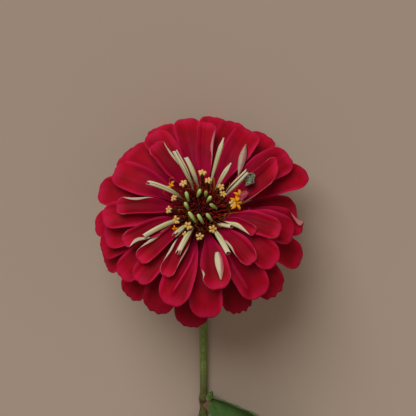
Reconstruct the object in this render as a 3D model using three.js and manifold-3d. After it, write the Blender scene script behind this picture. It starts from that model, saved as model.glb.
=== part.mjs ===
// A full-petalled zinnia flower, picked with a short leafy stem and laid down on a flat surface.
// Millimetres, +Z up. The flower's face looks towards -Y and up, and the stem runs back along +Y.
// The origin is on the surface, under the middle of the whole flower.
import * as THREE from "three";
import { mergeVertices } from "three/addons/utils/BufferGeometryUtils.js";
import Module from "manifold-3d";

const wasm = await Module();
wasm.setup();
const { degToRad, smoothstep, lerp } = THREE.MathUtils;

// Where the head stands: the middle of its disc, and how many degrees its face leans forward from
// looking straight up.
const discCentre = new THREE.Vector3(5.6, -57.7, 38.2);
const faceLean = 36;

// Petals, all of one shape family.
const petalThickness = 0.46;
const edgeThickness = 0.26;
const clawShare = 0.2; // the straight claw's share of a petal's length
const clawWidth = 1.5; // half the claw's width
const widestAt = 0.62; // share of the length where the blade reaches its full width
const tipDepth = 1; // depth of the rounded tip at the petal's edges, in half widths
const tipNotch = 0.4;
const notchWidth = 0.2; // share of the half width
const rollFrom = 0.42; // share of the half width where a rolled edge starts
const rollSpread = 0.26; // share of the length that a rolled edge takes up, each way from its middle
const petalRows = 6;
const petalColumns = 6;

// The whorls of ray petals, from the lowest to the innermost. A petal leaves the receptacle at reach and
// height, climbs at rise degrees along its claw, then arcs over to droop degrees at its tip. cup is how far
// the edges turn up, in degrees, at the base and at the tip, and claw half the claw's width.
// Each petal: clock (degrees, seen from the face, 0 nearest the surface), length, half width, and where it
// differs from its whorl: droop and cup, rollLeft and rollRight (degrees that an edge curls over the face)
// with rollAt (share of the length where it curls most), and bend (sideways shift of the tip).
const whorls = [
  {
    name: "outer_petal", reach: 8.2, height: -11.2, rise: 8, droop: -56, cup: [40, 12],
    petals: [
      { clock: 6, length: 34.6, half: 5.4, droop: -43 },
      { clock: 36.5, length: 35.2, half: 5.4, droop: -48 },
      { clock: 85, length: 29.4, half: 5.4 },
      { clock: 113, length: 34.2, half: 5.4 },
      { clock: 158, length: 32.6, half: 5.8, cup: [40, -8] },
      { clock: 186.5, length: 35.6, half: 6.5, cup: [40, -10] },
      { clock: 224, length: 35.6, half: 5.4 },
      { clock: 245, length: 35.6, half: 5 },
      { clock: 267, length: 35.2, half: 5.2 },
      { clock: 310, length: 35.2, half: 5.4 },
      { clock: 335, length: 35.6, half: 5.6, droop: -52 },
    ],
  },
  {
    name: "second_petal", reach: 8.2, height: -9.6, rise: 17, droop: -50, cup: [42, 14],
    petals: [
      { clock: 18, length: 32.2, half: 5.2, droop: -46 },
      { clock: 69.5, length: 35.4, half: 5.6, droop: -38 },
      { clock: 96, length: 30.8, half: 4.8 },
      { clock: 137.5, length: 34.6, half: 6.3, cup: [42, -6] },
      { clock: 206.5, length: 34.8, half: 6.2, cup: [42, -8] },
      { clock: 251, length: 34.2, half: 5.2 },
    ],
  },
  {
    name: "middle_petal", reach: 8.1, height: -7.8, rise: 27, droop: -44, cup: [44, 16],
    petals: [
      { clock: 27.5, length: 30, half: 5.5 },
      { clock: 56.5, length: 32, half: 6 },
      { clock: 105, length: 27.8, half: 5.7 },
      { clock: 147, length: 31.8, half: 6.4 },
      { clock: 178, length: 33.8, half: 6.2 },
      { clock: 230.5, length: 32.6, half: 5 },
      { clock: 253.5, length: 31, half: 5.6 },
      { clock: 281.5, length: 33, half: 6 },
      { clock: 312, length: 29.6, half: 6 },
      { clock: 349.5, length: 30.4, half: 5.2 },
    ],
  },
  {
    name: "upper_petal", reach: 8, height: -6.2, rise: 36, droop: -36, cup: [46, 22],
    petals: [
      { clock: 2.4, length: 26.2, half: 3.9, cup: [46, 44] },
      { clock: 129, length: 27.6, half: 5.7 },
      { clock: 197.5, length: 31.2, half: 6, cup: [46, 8] },
      { clock: 222, length: 29, half: 4.6 },
      { clock: 263, length: 30.6, half: 5.3 },
      { clock: 292, length: 29, half: 5.7 },
      { clock: 326, length: 28, half: 5.4 },
    ],
  },
  {
    name: "inner_petal", reach: 7.9, height: -4.7, rise: 45, droop: -26, cup: [60, 48], claw: 1.1,
    petals: [
      { clock: 59.4, length: 23.8, half: 4.3, rollRight: 60, rollAt: 0.6 },
      { clock: 111, length: 24.4, half: 4.4, cup: [60, 34] },
      { clock: 141, length: 22.8, half: 4.2, rollRight: 70, rollAt: 0.55 },
      { clock: 170, length: 27.2, half: 5.7, cup: [60, 24], rollLeft: 80, rollAt: 0.85 },
      { clock: 208, length: 24.8, half: 3.8, droop: -20, rollLeft: 50, rollAt: 0.6 },
      { clock: 230, length: 26, half: 3.8, rollRight: 50, rollAt: 0.55 },
      { clock: 248, length: 25.4, half: 3.9, rollLeft: 80, rollAt: 0.75 },
      { clock: 269, length: 26, half: 4, rollRight: 70, rollAt: 0.6 },
      { clock: 325, length: 23.8, half: 4.1, rollRight: 70, rollAt: 0.65 },
    ],
  },
  {
    name: "young_petal", reach: 7.7, height: -2.9, rise: 50, droop: 8, cup: [130, 150], claw: 0.9, columns: 8,
    petals: [
      { clock: 17.5, length: 20.4, half: 2.5, droop: -4, cup: [120, 90] },
      { clock: 33, length: 13, half: 2.6 },
      { clock: 55.4, length: 14.2, half: 3.4, cup: [120, 130] },
      { clock: 116.6, length: 16.6, half: 2.9, droop: 0, cup: [110, 70] },
      { clock: 136, length: 8.4, half: 2.2, droop: 36, bend: -2 },
      { clock: 157, length: 16.4, half: 2.7, droop: 16 },
      { clock: 204.7, length: 16.4, half: 2.8 },
      { clock: 219.5, length: 12, half: 2.4, droop: 30 },
      { clock: 238.3, length: 20, half: 3, droop: -6 },
      { clock: 291.2, length: 16.8, half: 2.7 },
      { clock: 328, length: 17.2, half: 2.7 },
      { clock: 341.5, length: 13, half: 2.8 },
    ],
  },
];

// The receptacle that carries the petals, and the cup of bracts under it, as closed profiles in the head's
// frame: distance from its axis, height over the disc.
const receptacle = [
  [0, -21.5], [5, -20.5], [7.4, -17], [7.5, -11], [7.2, -6], [6.6, -3.4], [5.6, -1.2], [3.4, 0], [0, -0.6],
];
const bractCup = [
  [2.7, -24.4], [6.6, -23.3], [9.6, -19.4], [10.5, -15], [11.2, -12], [10.2, -12.2],
  [8.3, -13.2], [8, -17.4], [5.4, -21.2], [2.7, -22.4], [2.7, -24.4],
];
const roundSides = 28;

// Florets on the disc: clock angle, then the reach of the tip. Open ones widen from the receptacle to a
// mouth over the petals' claws, and closed ones stand on the disc.
const openFlorets = {
  root: { reach: 5.6, height: -2.4, radius: 0.35 },
  mouth: { height: 3.6, radius: 0.9 },
  places: [
    [359, 10.8], [316, 9.6], [13, 8.6], [301, 11.6], [47, 8.6], [68, 8.4], [281, 10], [258, 11.6],
    [237, 10.4], [212, 9.6], [196, 11.2], [184, 11.8], [164, 9.8], [91, 11], [78, 11.2],
  ],
};
const closedFlorets = {
  foot: { height: -0.8, radius: 0.6, reachShare: 0.55 },
  tip: { height: 3.2, radius: 0.75 },
  places: [
    [297, 6.2], [263, 5.7], [217, 6], [187, 5.5], [153, 5.4], [339, 4.4], [15, 4], [46, 2.8], [100, 4],
  ],
};
const rodSides = 6;

// The stem: it leaves the bracts straight back from the face, bends until it lies flat, and runs past the
// swollen node, where the leaves and a bud grow, to the cut.
const stemRadius = { neck: 2, bend: 1.55, node: 1.35, cut: 1.5 };
const neckHeight = -23.2;
const nodeBehindDisc = 94.5;
const cutBehindDisc = 134;
const nodeSwelling = 0.5;
const nodeSpread = 2;
const bendSteps = 12;
const stemSides = 10;
const bud = { profile: [[0, 0], [1, 1], [1.3, 2.6], [0.8, 4.6], [0, 6]], sides: 8, tip: 1.2, swing: -0.45 };

// The leaves: heading is where the midrib sets off, counter-clockwise from +X, and turn how much it swings.
// fold is the slope of the two halves of the blade, left and right of the midrib. base sets how broad the
// leaf starts, as the share of the length before its foot where its width would be nothing.
const leaves = [
  {
    name: "leaf_right", side: -1, heading: 146, turn: -6, length: 60, half: 13, base: 0.2,
    fold: [62, 20], arch: 3.2,
  },
  {
    name: "leaf_left", side: 1, heading: 76, turn: -34, length: 52, half: 11, base: 0.04,
    fold: [66, 14], arch: 2.4,
  },
];
const leafThickness = 0.5;
const leafTip = 0.4;
const leafWidestAt = 0.4;
const leafGap = 0.7; // between the stem's node and a leaf's foot
const leafRows = 10;
const leafColumns = 6;

const finishes = {
  crimson: { color: 0x8f0c22, roughness: 0.75, metalness: 0 },
  paleGreen: { color: 0xa8ad82, roughness: 0.7, metalness: 0 },
  discRed: { color: 0x3c0a0a, roughness: 0.85, metalness: 0 },
  stemGreen: { color: 0x4c5a2c, roughness: 0.7, metalness: 0 },
  leafGreen: { color: 0x33472a, roughness: 0.65, metalness: 0 },
};

// Adds a named mesh with its own material to a group.
function addPiece(group, name, geometry, finish) {
  const mesh = new THREE.Mesh(geometry, new THREE.MeshStandardMaterial(finish));
  mesh.name = name;
  group.add(mesh);
}

function indexedGeometry(position, index) {
  const geometry = new THREE.BufferGeometry();
  geometry.setAttribute("position", new THREE.Float32BufferAttribute(position, 3));
  geometry.setIndex(index);
  return geometry;
}

// One solid from several closed geometries that run into each other.
function joined(geometries) {
  const solids = geometries.map((geometry) => {
    geometry.deleteAttribute("normal");
    geometry.deleteAttribute("uv");
    const merged = mergeVertices(geometry);
    return new wasm.Manifold(
      new wasm.Mesh({
        numProp: 3,
        vertProperties: merged.attributes.position.array,
        triVerts: new Uint32Array(merged.index.array),
      }),
    );
  });
  const mesh = solids.reduce((whole, solid) => whole.add(solid)).getMesh();
  return indexedGeometry([...mesh.vertProperties], [...mesh.triVerts]);
}

// A profile of [distance from the axis, height] pairs turned about Z.
function turned(profile, sides) {
  const points = profile.map(([reach, height]) => new THREE.Vector2(reach, height));
  return new THREE.LatheGeometry(points, sides).rotateX(Math.PI / 2);
}

// A closed tube of rings about a path of { point, radius } that stays in one plane across X.
function tubeGeometry(path, sides) {
  const position = [];
  const index = [];
  const across = new THREE.Vector3(1, 0, 0);
  path.forEach(({ point, radius }, i) => {
    const ahead = path[Math.min(i + 1, path.length - 1)].point;
    const behind = path[Math.max(i - 1, 0)].point;
    const under = across.clone().cross(ahead.clone().sub(behind)).normalize();
    for (let k = 0; k < sides; k++) {
      const turn = (2 * Math.PI * k) / sides;
      const spot = point.clone().addScaledVector(across, radius * Math.cos(turn));
      position.push(...spot.addScaledVector(under, radius * Math.sin(turn)).toArray());
    }
  });
  for (let i = 0; i < path.length - 1; i++)
    for (let k = 0; k < sides; k++) {
      const a = i * sides + k;
      const b = i * sides + ((k + 1) % sides);
      index.push(a, b + sides, b, a, a + sides, b + sides);
    }
  const last = (path.length - 1) * sides;
  for (let k = 1; k < sides - 1; k++) {
    index.push(0, k, k + 1);
    index.push(last, last + k + 1, last + k);
  }
  return indexedGeometry(position, index);
}

// A closed sheet with a thickness: place(u, v) gives a point of its middle surface, its normal there and
// half its thickness, for u from 0 to 1 along the sheet and v from -1 to 1 across it.
function sheetGeometry(rows, columns, place) {
  const position = [];
  for (const way of [1, -1])
    for (let i = 0; i <= rows; i++)
      for (let j = 0; j <= columns; j++) {
        const { point, normal, half } = place(i / rows, (2 * j) / columns - 1);
        position.push(...point.clone().addScaledVector(normal, way * half).toArray());
      }
  const index = [];
  const quad = (a, b, c, d) => index.push(a, c, b, a, d, c);
  const face = (i, j) => i * (columns + 1) + j;
  const back = (i, j) => (rows + 1) * (columns + 1) + face(i, j);
  for (let i = 0; i < rows; i++)
    for (let j = 0; j < columns; j++) {
      quad(face(i, j), face(i + 1, j), face(i + 1, j + 1), face(i, j + 1));
      quad(back(i, j), back(i, j + 1), back(i + 1, j + 1), back(i + 1, j));
    }
  for (let i = 0; i < rows; i++) {
    quad(face(i, 0), back(i, 0), back(i + 1, 0), face(i + 1, 0));
    quad(face(i, columns), face(i + 1, columns), back(i + 1, columns), back(i, columns));
  }
  for (let j = 0; j < columns; j++) {
    quad(face(0, j), face(0, j + 1), back(0, j + 1), back(0, j));
    quad(face(rows, j), back(rows, j), back(rows, j + 1), face(rows, j + 1));
  }
  return indexedGeometry(position, index);
}

// The midline of a petal at a distance along it: a straight claw, then an arc from rise to droop.
function midline(petal, distance) {
  const claw = clawShare * petal.length;
  const rise = degToRad(petal.rise);
  const along = Math.min(distance, claw);
  const reach = petal.reach + along * Math.cos(rise);
  const height = petal.height + along * Math.sin(rise);
  if (distance <= claw) return { reach, height, slope: rise };
  const turn = degToRad(petal.droop - petal.rise) / (petal.length - claw);
  const slope = rise + turn * (distance - claw);
  return {
    reach: reach + (Math.sin(slope) - Math.sin(rise)) / turn,
    height: height - (Math.cos(slope) - Math.cos(rise)) / turn,
    slope,
  };
}

// The cross-section of a petal out to a share of its half width, summed in short steps: the tangent turns
// by cup degrees over the half width, plus the roll that starts at rollFrom. Gives the offset sideways, the
// height over the midline and the angle of the tangent.
function crossSection(halfWidth, share, cup, roll) {
  const steps = 24;
  const step = Math.abs(share) / steps;
  let side = 0;
  let height = 0;
  let angle = 0;
  for (let k = 0; k < steps; k++) {
    const at = (k + 0.5) * step;
    angle = degToRad(cup * at + roll * smoothstep(at, rollFrom, 1));
    side += Math.cos(angle) * step * halfWidth;
    height += Math.sin(angle) * step * halfWidth;
  }
  return { side: Math.sign(share) * side, height, angle: Math.sign(share) * angle };
}

// A point of a petal in the head's frame. Columns crowd towards the edges, so that the tip comes out round.
function petalPoint(petal, u, v) {
  const spread = Math.sin((v * Math.PI) / 2);
  const tip = tipDepth * petal.half * (1 - Math.sqrt(Math.max(0, 1 - spread * spread)));
  const notch = tipNotch * Math.exp(-Math.pow(spread / notchWidth, 2));
  const distance = u * (petal.length - tip - notch);
  const { reach, height, slope } = midline(petal, distance);
  const part = distance / petal.length;
  const halfWidth = lerp(petal.claw ?? clawWidth, petal.half, smoothstep(part, 0.04, widestAt));
  const cup = lerp(petal.cup[0], petal.cup[1], part);
  const peak = Math.exp(-Math.pow((part - (petal.rollAt ?? 0)) / rollSpread, 2));
  const roll = ((spread < 0 ? petal.rollLeft : petal.rollRight) ?? 0) * peak;
  const section = crossSection(halfWidth, spread, cup, roll);
  const clock = degToRad(petal.clock);
  const outward = new THREE.Vector3(Math.sin(clock), Math.cos(clock), 0);
  const sideways = new THREE.Vector3(Math.cos(clock), -Math.sin(clock), 0);
  const up = new THREE.Vector3(0, 0, 1);
  const over = outward.clone().multiplyScalar(-Math.sin(slope)).addScaledVector(up, Math.cos(slope));
  const point = outward.multiplyScalar(reach).addScaledVector(up, height);
  point.addScaledVector(sideways, section.side + (petal.bend ?? 0) * part * part);
  point.addScaledVector(over, section.height);
  const normal = over.multiplyScalar(Math.cos(section.angle));
  normal.addScaledVector(sideways, -Math.sin(section.angle));
  return { point, normal, half: lerp(petalThickness, edgeThickness, Math.abs(v)) / 2 };
}

function addPetals(head) {
  for (const { petals, ...whorl } of whorls)
    petals.forEach((own, k) => {
      const petal = { ...whorl, ...own };
      const columns = petal.columns ?? petalColumns;
      const geometry = sheetGeometry(petalRows, columns, (u, v) => petalPoint(petal, u, v));
      const finish = whorl.name === "young_petal" ? finishes.paleGreen : finishes.crimson;
      addPiece(head, `${whorl.name}_${String(k + 1).padStart(2, "0")}`, geometry, finish);
    });
}

// A point in the head's frame at a clock angle, a reach from its axis and a height over the disc.
function headPoint(clock, reach, height) {
  const turn = degToRad(clock);
  return new THREE.Vector3(reach * Math.sin(turn), reach * Math.cos(turn), height);
}

// A rod with flat sides from one point to another, with a radius at each end.
function rodGeometry(from, to, fromRadius, toRadius) {
  const along = to.clone().sub(from);
  const rod = new THREE.CylinderGeometry(toRadius, fromRadius, along.length(), rodSides);
  const turn = new THREE.Quaternion().setFromUnitVectors(new THREE.Vector3(0, 1, 0), along.normalize());
  rod.applyQuaternion(turn);
  return rod.translate(...from.clone().add(to).multiplyScalar(0.5).toArray());
}

function discGeometry() {
  const { root, mouth } = openFlorets;
  const open = openFlorets.places.map(([clock, reach]) => {
    const from = headPoint(clock, root.reach, root.height);
    return rodGeometry(from, headPoint(clock, reach, mouth.height), root.radius, mouth.radius);
  });
  const { foot, tip } = closedFlorets;
  const closed = closedFlorets.places.map(([clock, reach]) => {
    const from = headPoint(clock, reach * foot.reachShare, foot.height);
    return rodGeometry(from, headPoint(clock, reach, tip.height), foot.radius, tip.radius);
  });
  return joined([turned(receptacle, roundSides), ...open, ...closed]);
}

// The group that stands the head up: its +Z looks out of the flower's face, and its +Y points down the
// face to the petals that touch the surface.
function headGroup() {
  const lean = degToRad(faceLean);
  const head = new THREE.Group();
  const down = new THREE.Vector3(0, -Math.cos(lean), -Math.sin(lean));
  const face = new THREE.Vector3(0, -Math.sin(lean), Math.cos(lean));
  head.quaternion.setFromRotationMatrix(new THREE.Matrix4().makeBasis(down.clone().cross(face), down, face));
  head.position.copy(discCentre);
  return head;
}

// The middle of the stem's node, at the height where its swelling touches the surface.
function nodeCentre() {
  return new THREE.Vector3(discCentre.x, discCentre.y + nodeBehindDisc, stemRadius.node + nodeSwelling);
}

// The stem's midline and radius: an arc from the neck down to the surface, then straight on to the cut.
function stemPath() {
  const neck = headGroup().localToWorld(new THREE.Vector3(0, 0, neckHeight));
  const node = nodeCentre();
  const dive = Math.PI / 2 - degToRad(faceLean);
  const bend = (neck.z - node.z) / (1 - Math.cos(dive));
  const path = [];
  for (let k = 0; k <= bendSteps; k++) {
    const slope = dive * (1 - k / bendSteps);
    const y = neck.y + bend * (Math.sin(dive) - Math.sin(slope));
    const z = node.z + bend * (1 - Math.cos(slope));
    const radius = lerp(stemRadius.neck, stemRadius.bend, k / bendSteps);
    path.push({ point: new THREE.Vector3(node.x, y, z), radius });
  }
  const flatFrom = path.at(-1).point.y;
  const cut = discCentre.y + cutBehindDisc;
  const before = [0.3, 0.6].map((part) => lerp(flatFrom, node.y, part));
  const nearNode = [-2.4, -1.3, -0.6, 0, 0.6, 1.3, 2.4].map((step) => node.y + step * nodeSpread);
  for (const y of [...before, ...nearNode, lerp(node.y, cut, 0.6), cut]) {
    const plain =
      y < node.y
        ? lerp(stemRadius.bend, stemRadius.node, (y - flatFrom) / (node.y - flatFrom))
        : lerp(stemRadius.node, stemRadius.cut, (y - node.y) / (cut - node.y));
    const swelling = nodeSwelling * Math.exp(-Math.pow((y - node.y) / nodeSpread, 2));
    path.push({ point: new THREE.Vector3(node.x, y, node.z), radius: plain + swelling });
  }
  return path;
}

function stemGeometry() {
  const node = nodeCentre();
  const budGeometry = turned(bud.profile, bud.sides).rotateX(bud.tip).rotateZ(bud.swing);
  budGeometry.translate(node.x - stemRadius.node, node.y, node.z + 0.4);
  return joined([tubeGeometry(stemPath(), stemSides), budGeometry]);
}

// A leaf: its midrib arches over the surface and down to the tip, with the two halves of the blade sloping
// up from it. The blade is widest at leafWidestAt and ends in a point.
function leafGeometry(leaf) {
  const up = new THREE.Vector3(0, 0, 1);
  const foot = nodeCentre();
  foot.x += leaf.side * (stemRadius.node + nodeSwelling + leafGap);
  foot.z += leafThickness;
  const plan = foot.clone();
  const midrib = [];
  for (let i = 0; i <= leafRows; i++) {
    const part = i / leafRows;
    const heading = degToRad(leaf.heading + leaf.turn * part);
    const ahead = new THREE.Vector3(Math.cos(heading), Math.sin(heading), 0);
    const fall = lerp(foot.z, 0.35, part * part);
    midrib.push({ spot: plan.clone().setZ(fall + leaf.arch * Math.sin(Math.PI * part)), ahead });
    plan.addScaledVector(ahead, leaf.length / leafRows);
  }
  return sheetGeometry(leafRows, leafColumns, (u, v) => {
    const { spot, ahead } = midrib[Math.round(u * leafRows)];
    const swell = smoothstep(u, -leaf.base, leafWidestAt);
    const width = Math.max(leafTip, leaf.half * swell * (1 - Math.pow(u, 2.4)));
    const slope = degToRad(leaf.fold[v < 0 ? 0 : 1]) * smoothstep(Math.abs(v), -0.3, 0.5);
    const side = up.clone().cross(ahead).multiplyScalar(v < 0 ? 1 : -1);
    const outward = side.clone().multiplyScalar(Math.cos(slope)).addScaledVector(up, Math.sin(slope));
    const normal = up.clone().multiplyScalar(Math.cos(slope)).addScaledVector(side, -Math.sin(slope));
    const point = spot.clone().addScaledVector(outward, Math.abs(v) * width);
    return { point, normal, half: leafThickness / 2 };
  });
}

const flower = new THREE.Group();
const head = headGroup();
addPetals(head);
addPiece(head, "disc", discGeometry(), finishes.discRed);
addPiece(head, "involucre", turned(bractCup, roundSides), finishes.stemGreen);
flower.add(head);
addPiece(flower, "stem", stemGeometry(), finishes.stemGreen);
for (const leaf of leaves) addPiece(flower, leaf.name, leafGeometry(leaf), finishes.leafGreen);

export default flower;
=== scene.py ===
import bpy
import numpy as np
from mathutils import Matrix


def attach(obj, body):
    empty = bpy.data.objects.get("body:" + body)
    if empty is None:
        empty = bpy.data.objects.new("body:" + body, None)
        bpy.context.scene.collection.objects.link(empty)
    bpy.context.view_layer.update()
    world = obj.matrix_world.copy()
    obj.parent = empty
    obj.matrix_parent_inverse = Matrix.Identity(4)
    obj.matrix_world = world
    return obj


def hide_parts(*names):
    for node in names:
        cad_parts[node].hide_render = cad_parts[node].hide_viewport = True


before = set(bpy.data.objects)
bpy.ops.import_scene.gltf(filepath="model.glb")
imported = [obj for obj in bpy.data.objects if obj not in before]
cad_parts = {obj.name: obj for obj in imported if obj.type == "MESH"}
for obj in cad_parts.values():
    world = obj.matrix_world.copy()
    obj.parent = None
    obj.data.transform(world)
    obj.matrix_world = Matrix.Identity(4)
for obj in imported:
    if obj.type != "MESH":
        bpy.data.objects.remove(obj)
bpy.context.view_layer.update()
millimetre = 0.001

# The head's own frame: z looks out of the face, y down the face to the petals that touch the surface.
# A clock angle is counted in degrees from y, as seen from the face.
head = {
    "discCentre": (5.6, -57.7, 38.2),
    "faceLean": 36,
}
goldenAngle = 137.508
offAxis = np.array([0.31, 0.17, 0.93])  # a direction that no axis here runs along


def clamp(values):
    return np.clip(values, 0, 1)


def smoothStep(values, low, high):
    # 0 below low, 1 above high, and three squares less two cubes of the share between them
    share = clamp((np.asarray(values, float) - low) / (high - low))
    return share * share * (3 - 2 * share)


def blend(first, second, share):
    return first + (second - first) * share


def unit(vectors):
    # each vector over its own length
    return vectors / np.maximum(np.linalg.norm(vectors, axis=-1, keepdims=True), 1e-9)


def headToRow(points):
    # the head's axes, times the three coordinates, added to the middle of the disc
    lean = np.radians(head["faceLean"])
    down = np.array([0, -np.cos(lean), -np.sin(lean)])
    face = np.array([0, -np.sin(lean), np.cos(lean)])
    axes = np.stack([np.cross(down, face), down, face])
    return np.asarray(points) @ axes + np.array(head["discCentre"])


def inHead(body):
    # a body worked out in the head's frame, put where the head is
    points, faceLists, fields = body
    return headToRow(points), faceLists, fields


def headPoint(clock, reach, height):
    # reach times the sine and cosine of the clock angle, and the height over the disc
    turn = np.radians(clock)
    return np.stack(np.broadcast_arrays(reach * np.sin(turn), reach * np.cos(turn), height), -1)


def turns(sides):
    # equal steps once round, in radians
    return 2 * np.pi * np.arange(sides) / sides


def circleOf(first, second, turn):
    # the first direction times the cosine of the turn, and the second times its sine
    return first[..., None, :] * np.cos(turn)[..., None] + second[..., None, :] * np.sin(turn)[..., None]


def quadsOf(index):
    # the four corners of each cell of a grid of vertex numbers
    corners = [index[:-1, :-1], index[:-1, 1:], index[1:, 1:], index[1:, :-1]]
    return np.stack(corners, -1).reshape(-1, 4)


def repeated(faces, count, size):
    # the faces of one body, for count bodies of size vertices each
    return (faces[None] + np.arange(count)[:, None, None] * size).reshape(-1, faces.shape[-1])


def sheetNormals(middle):
    # the step across the sheet crossed with the step along it
    across = np.gradient(middle, axis=-2)
    along = np.gradient(middle, axis=-3)
    return unit(np.cross(across, along))


def closedSheets(middle, normals, thickness):
    # Each sheet is its middle surface pushed half the thickness both ways along its normals, with the rims
    # of the two skins joined by one strip. The arrays are sheets by rows by columns.
    count, rows, columns = middle.shape[:3]
    offset = normals * thickness[..., None] / 2
    points = np.stack([middle + offset, middle - offset], 1).reshape(-1, 3)
    size = rows * columns
    front = np.arange(size).reshape(rows, columns)
    rim = np.concatenate([front[0], front[1:, -1], front[-1, -2::-1], front[-2:0:-1, 0]])
    after = np.roll(rim, -1)
    strip = np.stack([after, rim, rim + size, after + size], -1)
    faces = np.concatenate([quadsOf(front), quadsOf(front + size)[:, ::-1], strip])
    return points, [repeated(faces, count, 2 * size)]


def bothSkins(values, shape):
    # a value of the middle surface, given to the front and the back skin
    values = np.broadcast_to(values, shape)
    return np.stack([values, values], 1).ravel()


def underSide(shape):
    # 0 on the front skin and 1 on the back
    front = np.zeros(shape)
    return np.stack([front, front + 1], 1).ravel()


def closedTubes(rings, first, last):
    # Rings of points, bodies by steps by sides, joined in order; the points first and last close the ends.
    count, steps, sides = rings.shape[:3]
    flat = rings.reshape(count, steps * sides, 3)
    points = np.concatenate([flat, first[:, None], last[:, None]], 1).reshape(-1, 3)
    index = np.arange(steps * sides).reshape(steps, sides)
    wrapped = np.concatenate([index, index[:, :1]], 1)
    near, far = wrapped[0], wrapped[-1]
    foot, tip = steps * sides, steps * sides + 1
    footFan = np.stack([np.full(sides, foot), near[:-1], near[1:]], -1)
    tipFan = np.stack([np.full(sides, tip), far[1:], far[:-1]], -1)
    size = steps * sides + 2
    quads = repeated(quadsOf(wrapped)[:, ::-1], count, size)
    return points, [quads, repeated(np.concatenate([footFan, tipFan]), count, size)]


def ringValues(values, shape, first, last):
    # a value spread over the rings' points, followed by those of the two end points
    flat = np.broadcast_to(values, shape).reshape(shape[0], -1)
    ends = [np.broadcast_to(end, (shape[0], 1)) for end in (first, last)]
    return np.concatenate([flat, *ends], 1).ravel()


def tubeRings(paths, radii, reference, sides):
    # A circle is carried along each path, square to the path's direction, with its radius given per step
    # or per step and side. Its first spoke is square to the reference too.
    tangent = unit(np.gradient(paths, axis=1))
    spoke = unit(np.cross(tangent, np.broadcast_to(reference, tangent.shape)))
    circle = circleOf(spoke, np.cross(spoke, tangent), turns(sides))
    radii = radii[..., None] if radii.ndim == 2 else radii
    return paths[:, :, None] + circle * radii[..., None]


def axisRings(feet, axes, reach, height):
    # Each body stands at its foot on its own axis: a point lies reach from the axis and height along it,
    # both given by body, step and side.
    sidewards = unit(np.cross(axes, offAxis))
    circle = circleOf(sidewards, np.cross(sidewards, axes), turns(reach.shape[-1]))
    rings = feet[:, None, None] + axes[:, None, None] * height[..., None]
    return rings + circle[:, None] * reach[..., None]


def makePiece(name, body, material, nodes=()):
    # a body is its points in millimetres, lists of faces, and the fields that its material reads
    points, faceLists, fields = body
    mesh = bpy.data.meshes.new(name)
    faces = [face for faceList in faceLists for face in faceList.tolist()]
    mesh.from_pydata((points * millimetre).tolist(), [], faces)
    mesh.polygons.foreach_set("use_smooth", np.full(len(faces), True))
    for fieldName, values in fields.items():
        attribute = mesh.attributes.new(fieldName, "FLOAT", "POINT")
        attribute.data.foreach_set("value", np.ascontiguousarray(values, np.float32))
    mesh.materials.append(material)
    mesh.update()
    piece = bpy.data.objects.new(name, mesh)
    bpy.context.scene.collection.objects.link(piece)
    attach(piece, "root")
    if nodes:
        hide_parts(*nodes)
    return piece


def joinedBodies(bodies):
    # several bodies put into one, one after the other
    allPoints = []
    allFaces = []
    allFields = {}
    start = 0
    for points, faceLists, fields in bodies:
        allPoints.append(points)
        allFaces.extend(faces + start for faces in faceLists)
        for fieldName, values in fields.items():
            allFields.setdefault(fieldName, []).append(values)
        start += len(points)
    fields = {fieldName: np.concatenate(values) for fieldName, values in allFields.items()}
    return np.concatenate(allPoints), allFaces, fields


def colour(code):
    # a web colour as the linear values that shaders work in
    parts = np.array([int(code[k : k + 2], 16) for k in (1, 3, 5)]) / 255
    linear = np.where(parts <= 0.04045, parts / 12.92, ((parts + 0.055) / 1.055) ** 2.4)
    return (*linear.tolist(), 1.0)


class Value:
    # One socket, so that shader maths reads as plain sums.
    def __init__(self, finish, socket):
        self.finish = finish
        self.socket = socket

    def maths(self, operation, first, second):
        return self.finish.add("ShaderNodeMath", {"operation": operation}, {0: first, 1: second})

    def __add__(self, other):
        return self.maths("ADD", self, other)

    def __radd__(self, other):
        return self.maths("ADD", other, self)

    def __mul__(self, other):
        return self.maths("MULTIPLY", self, other)

    def __rmul__(self, other):
        return self.maths("MULTIPLY", other, self)


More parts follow.
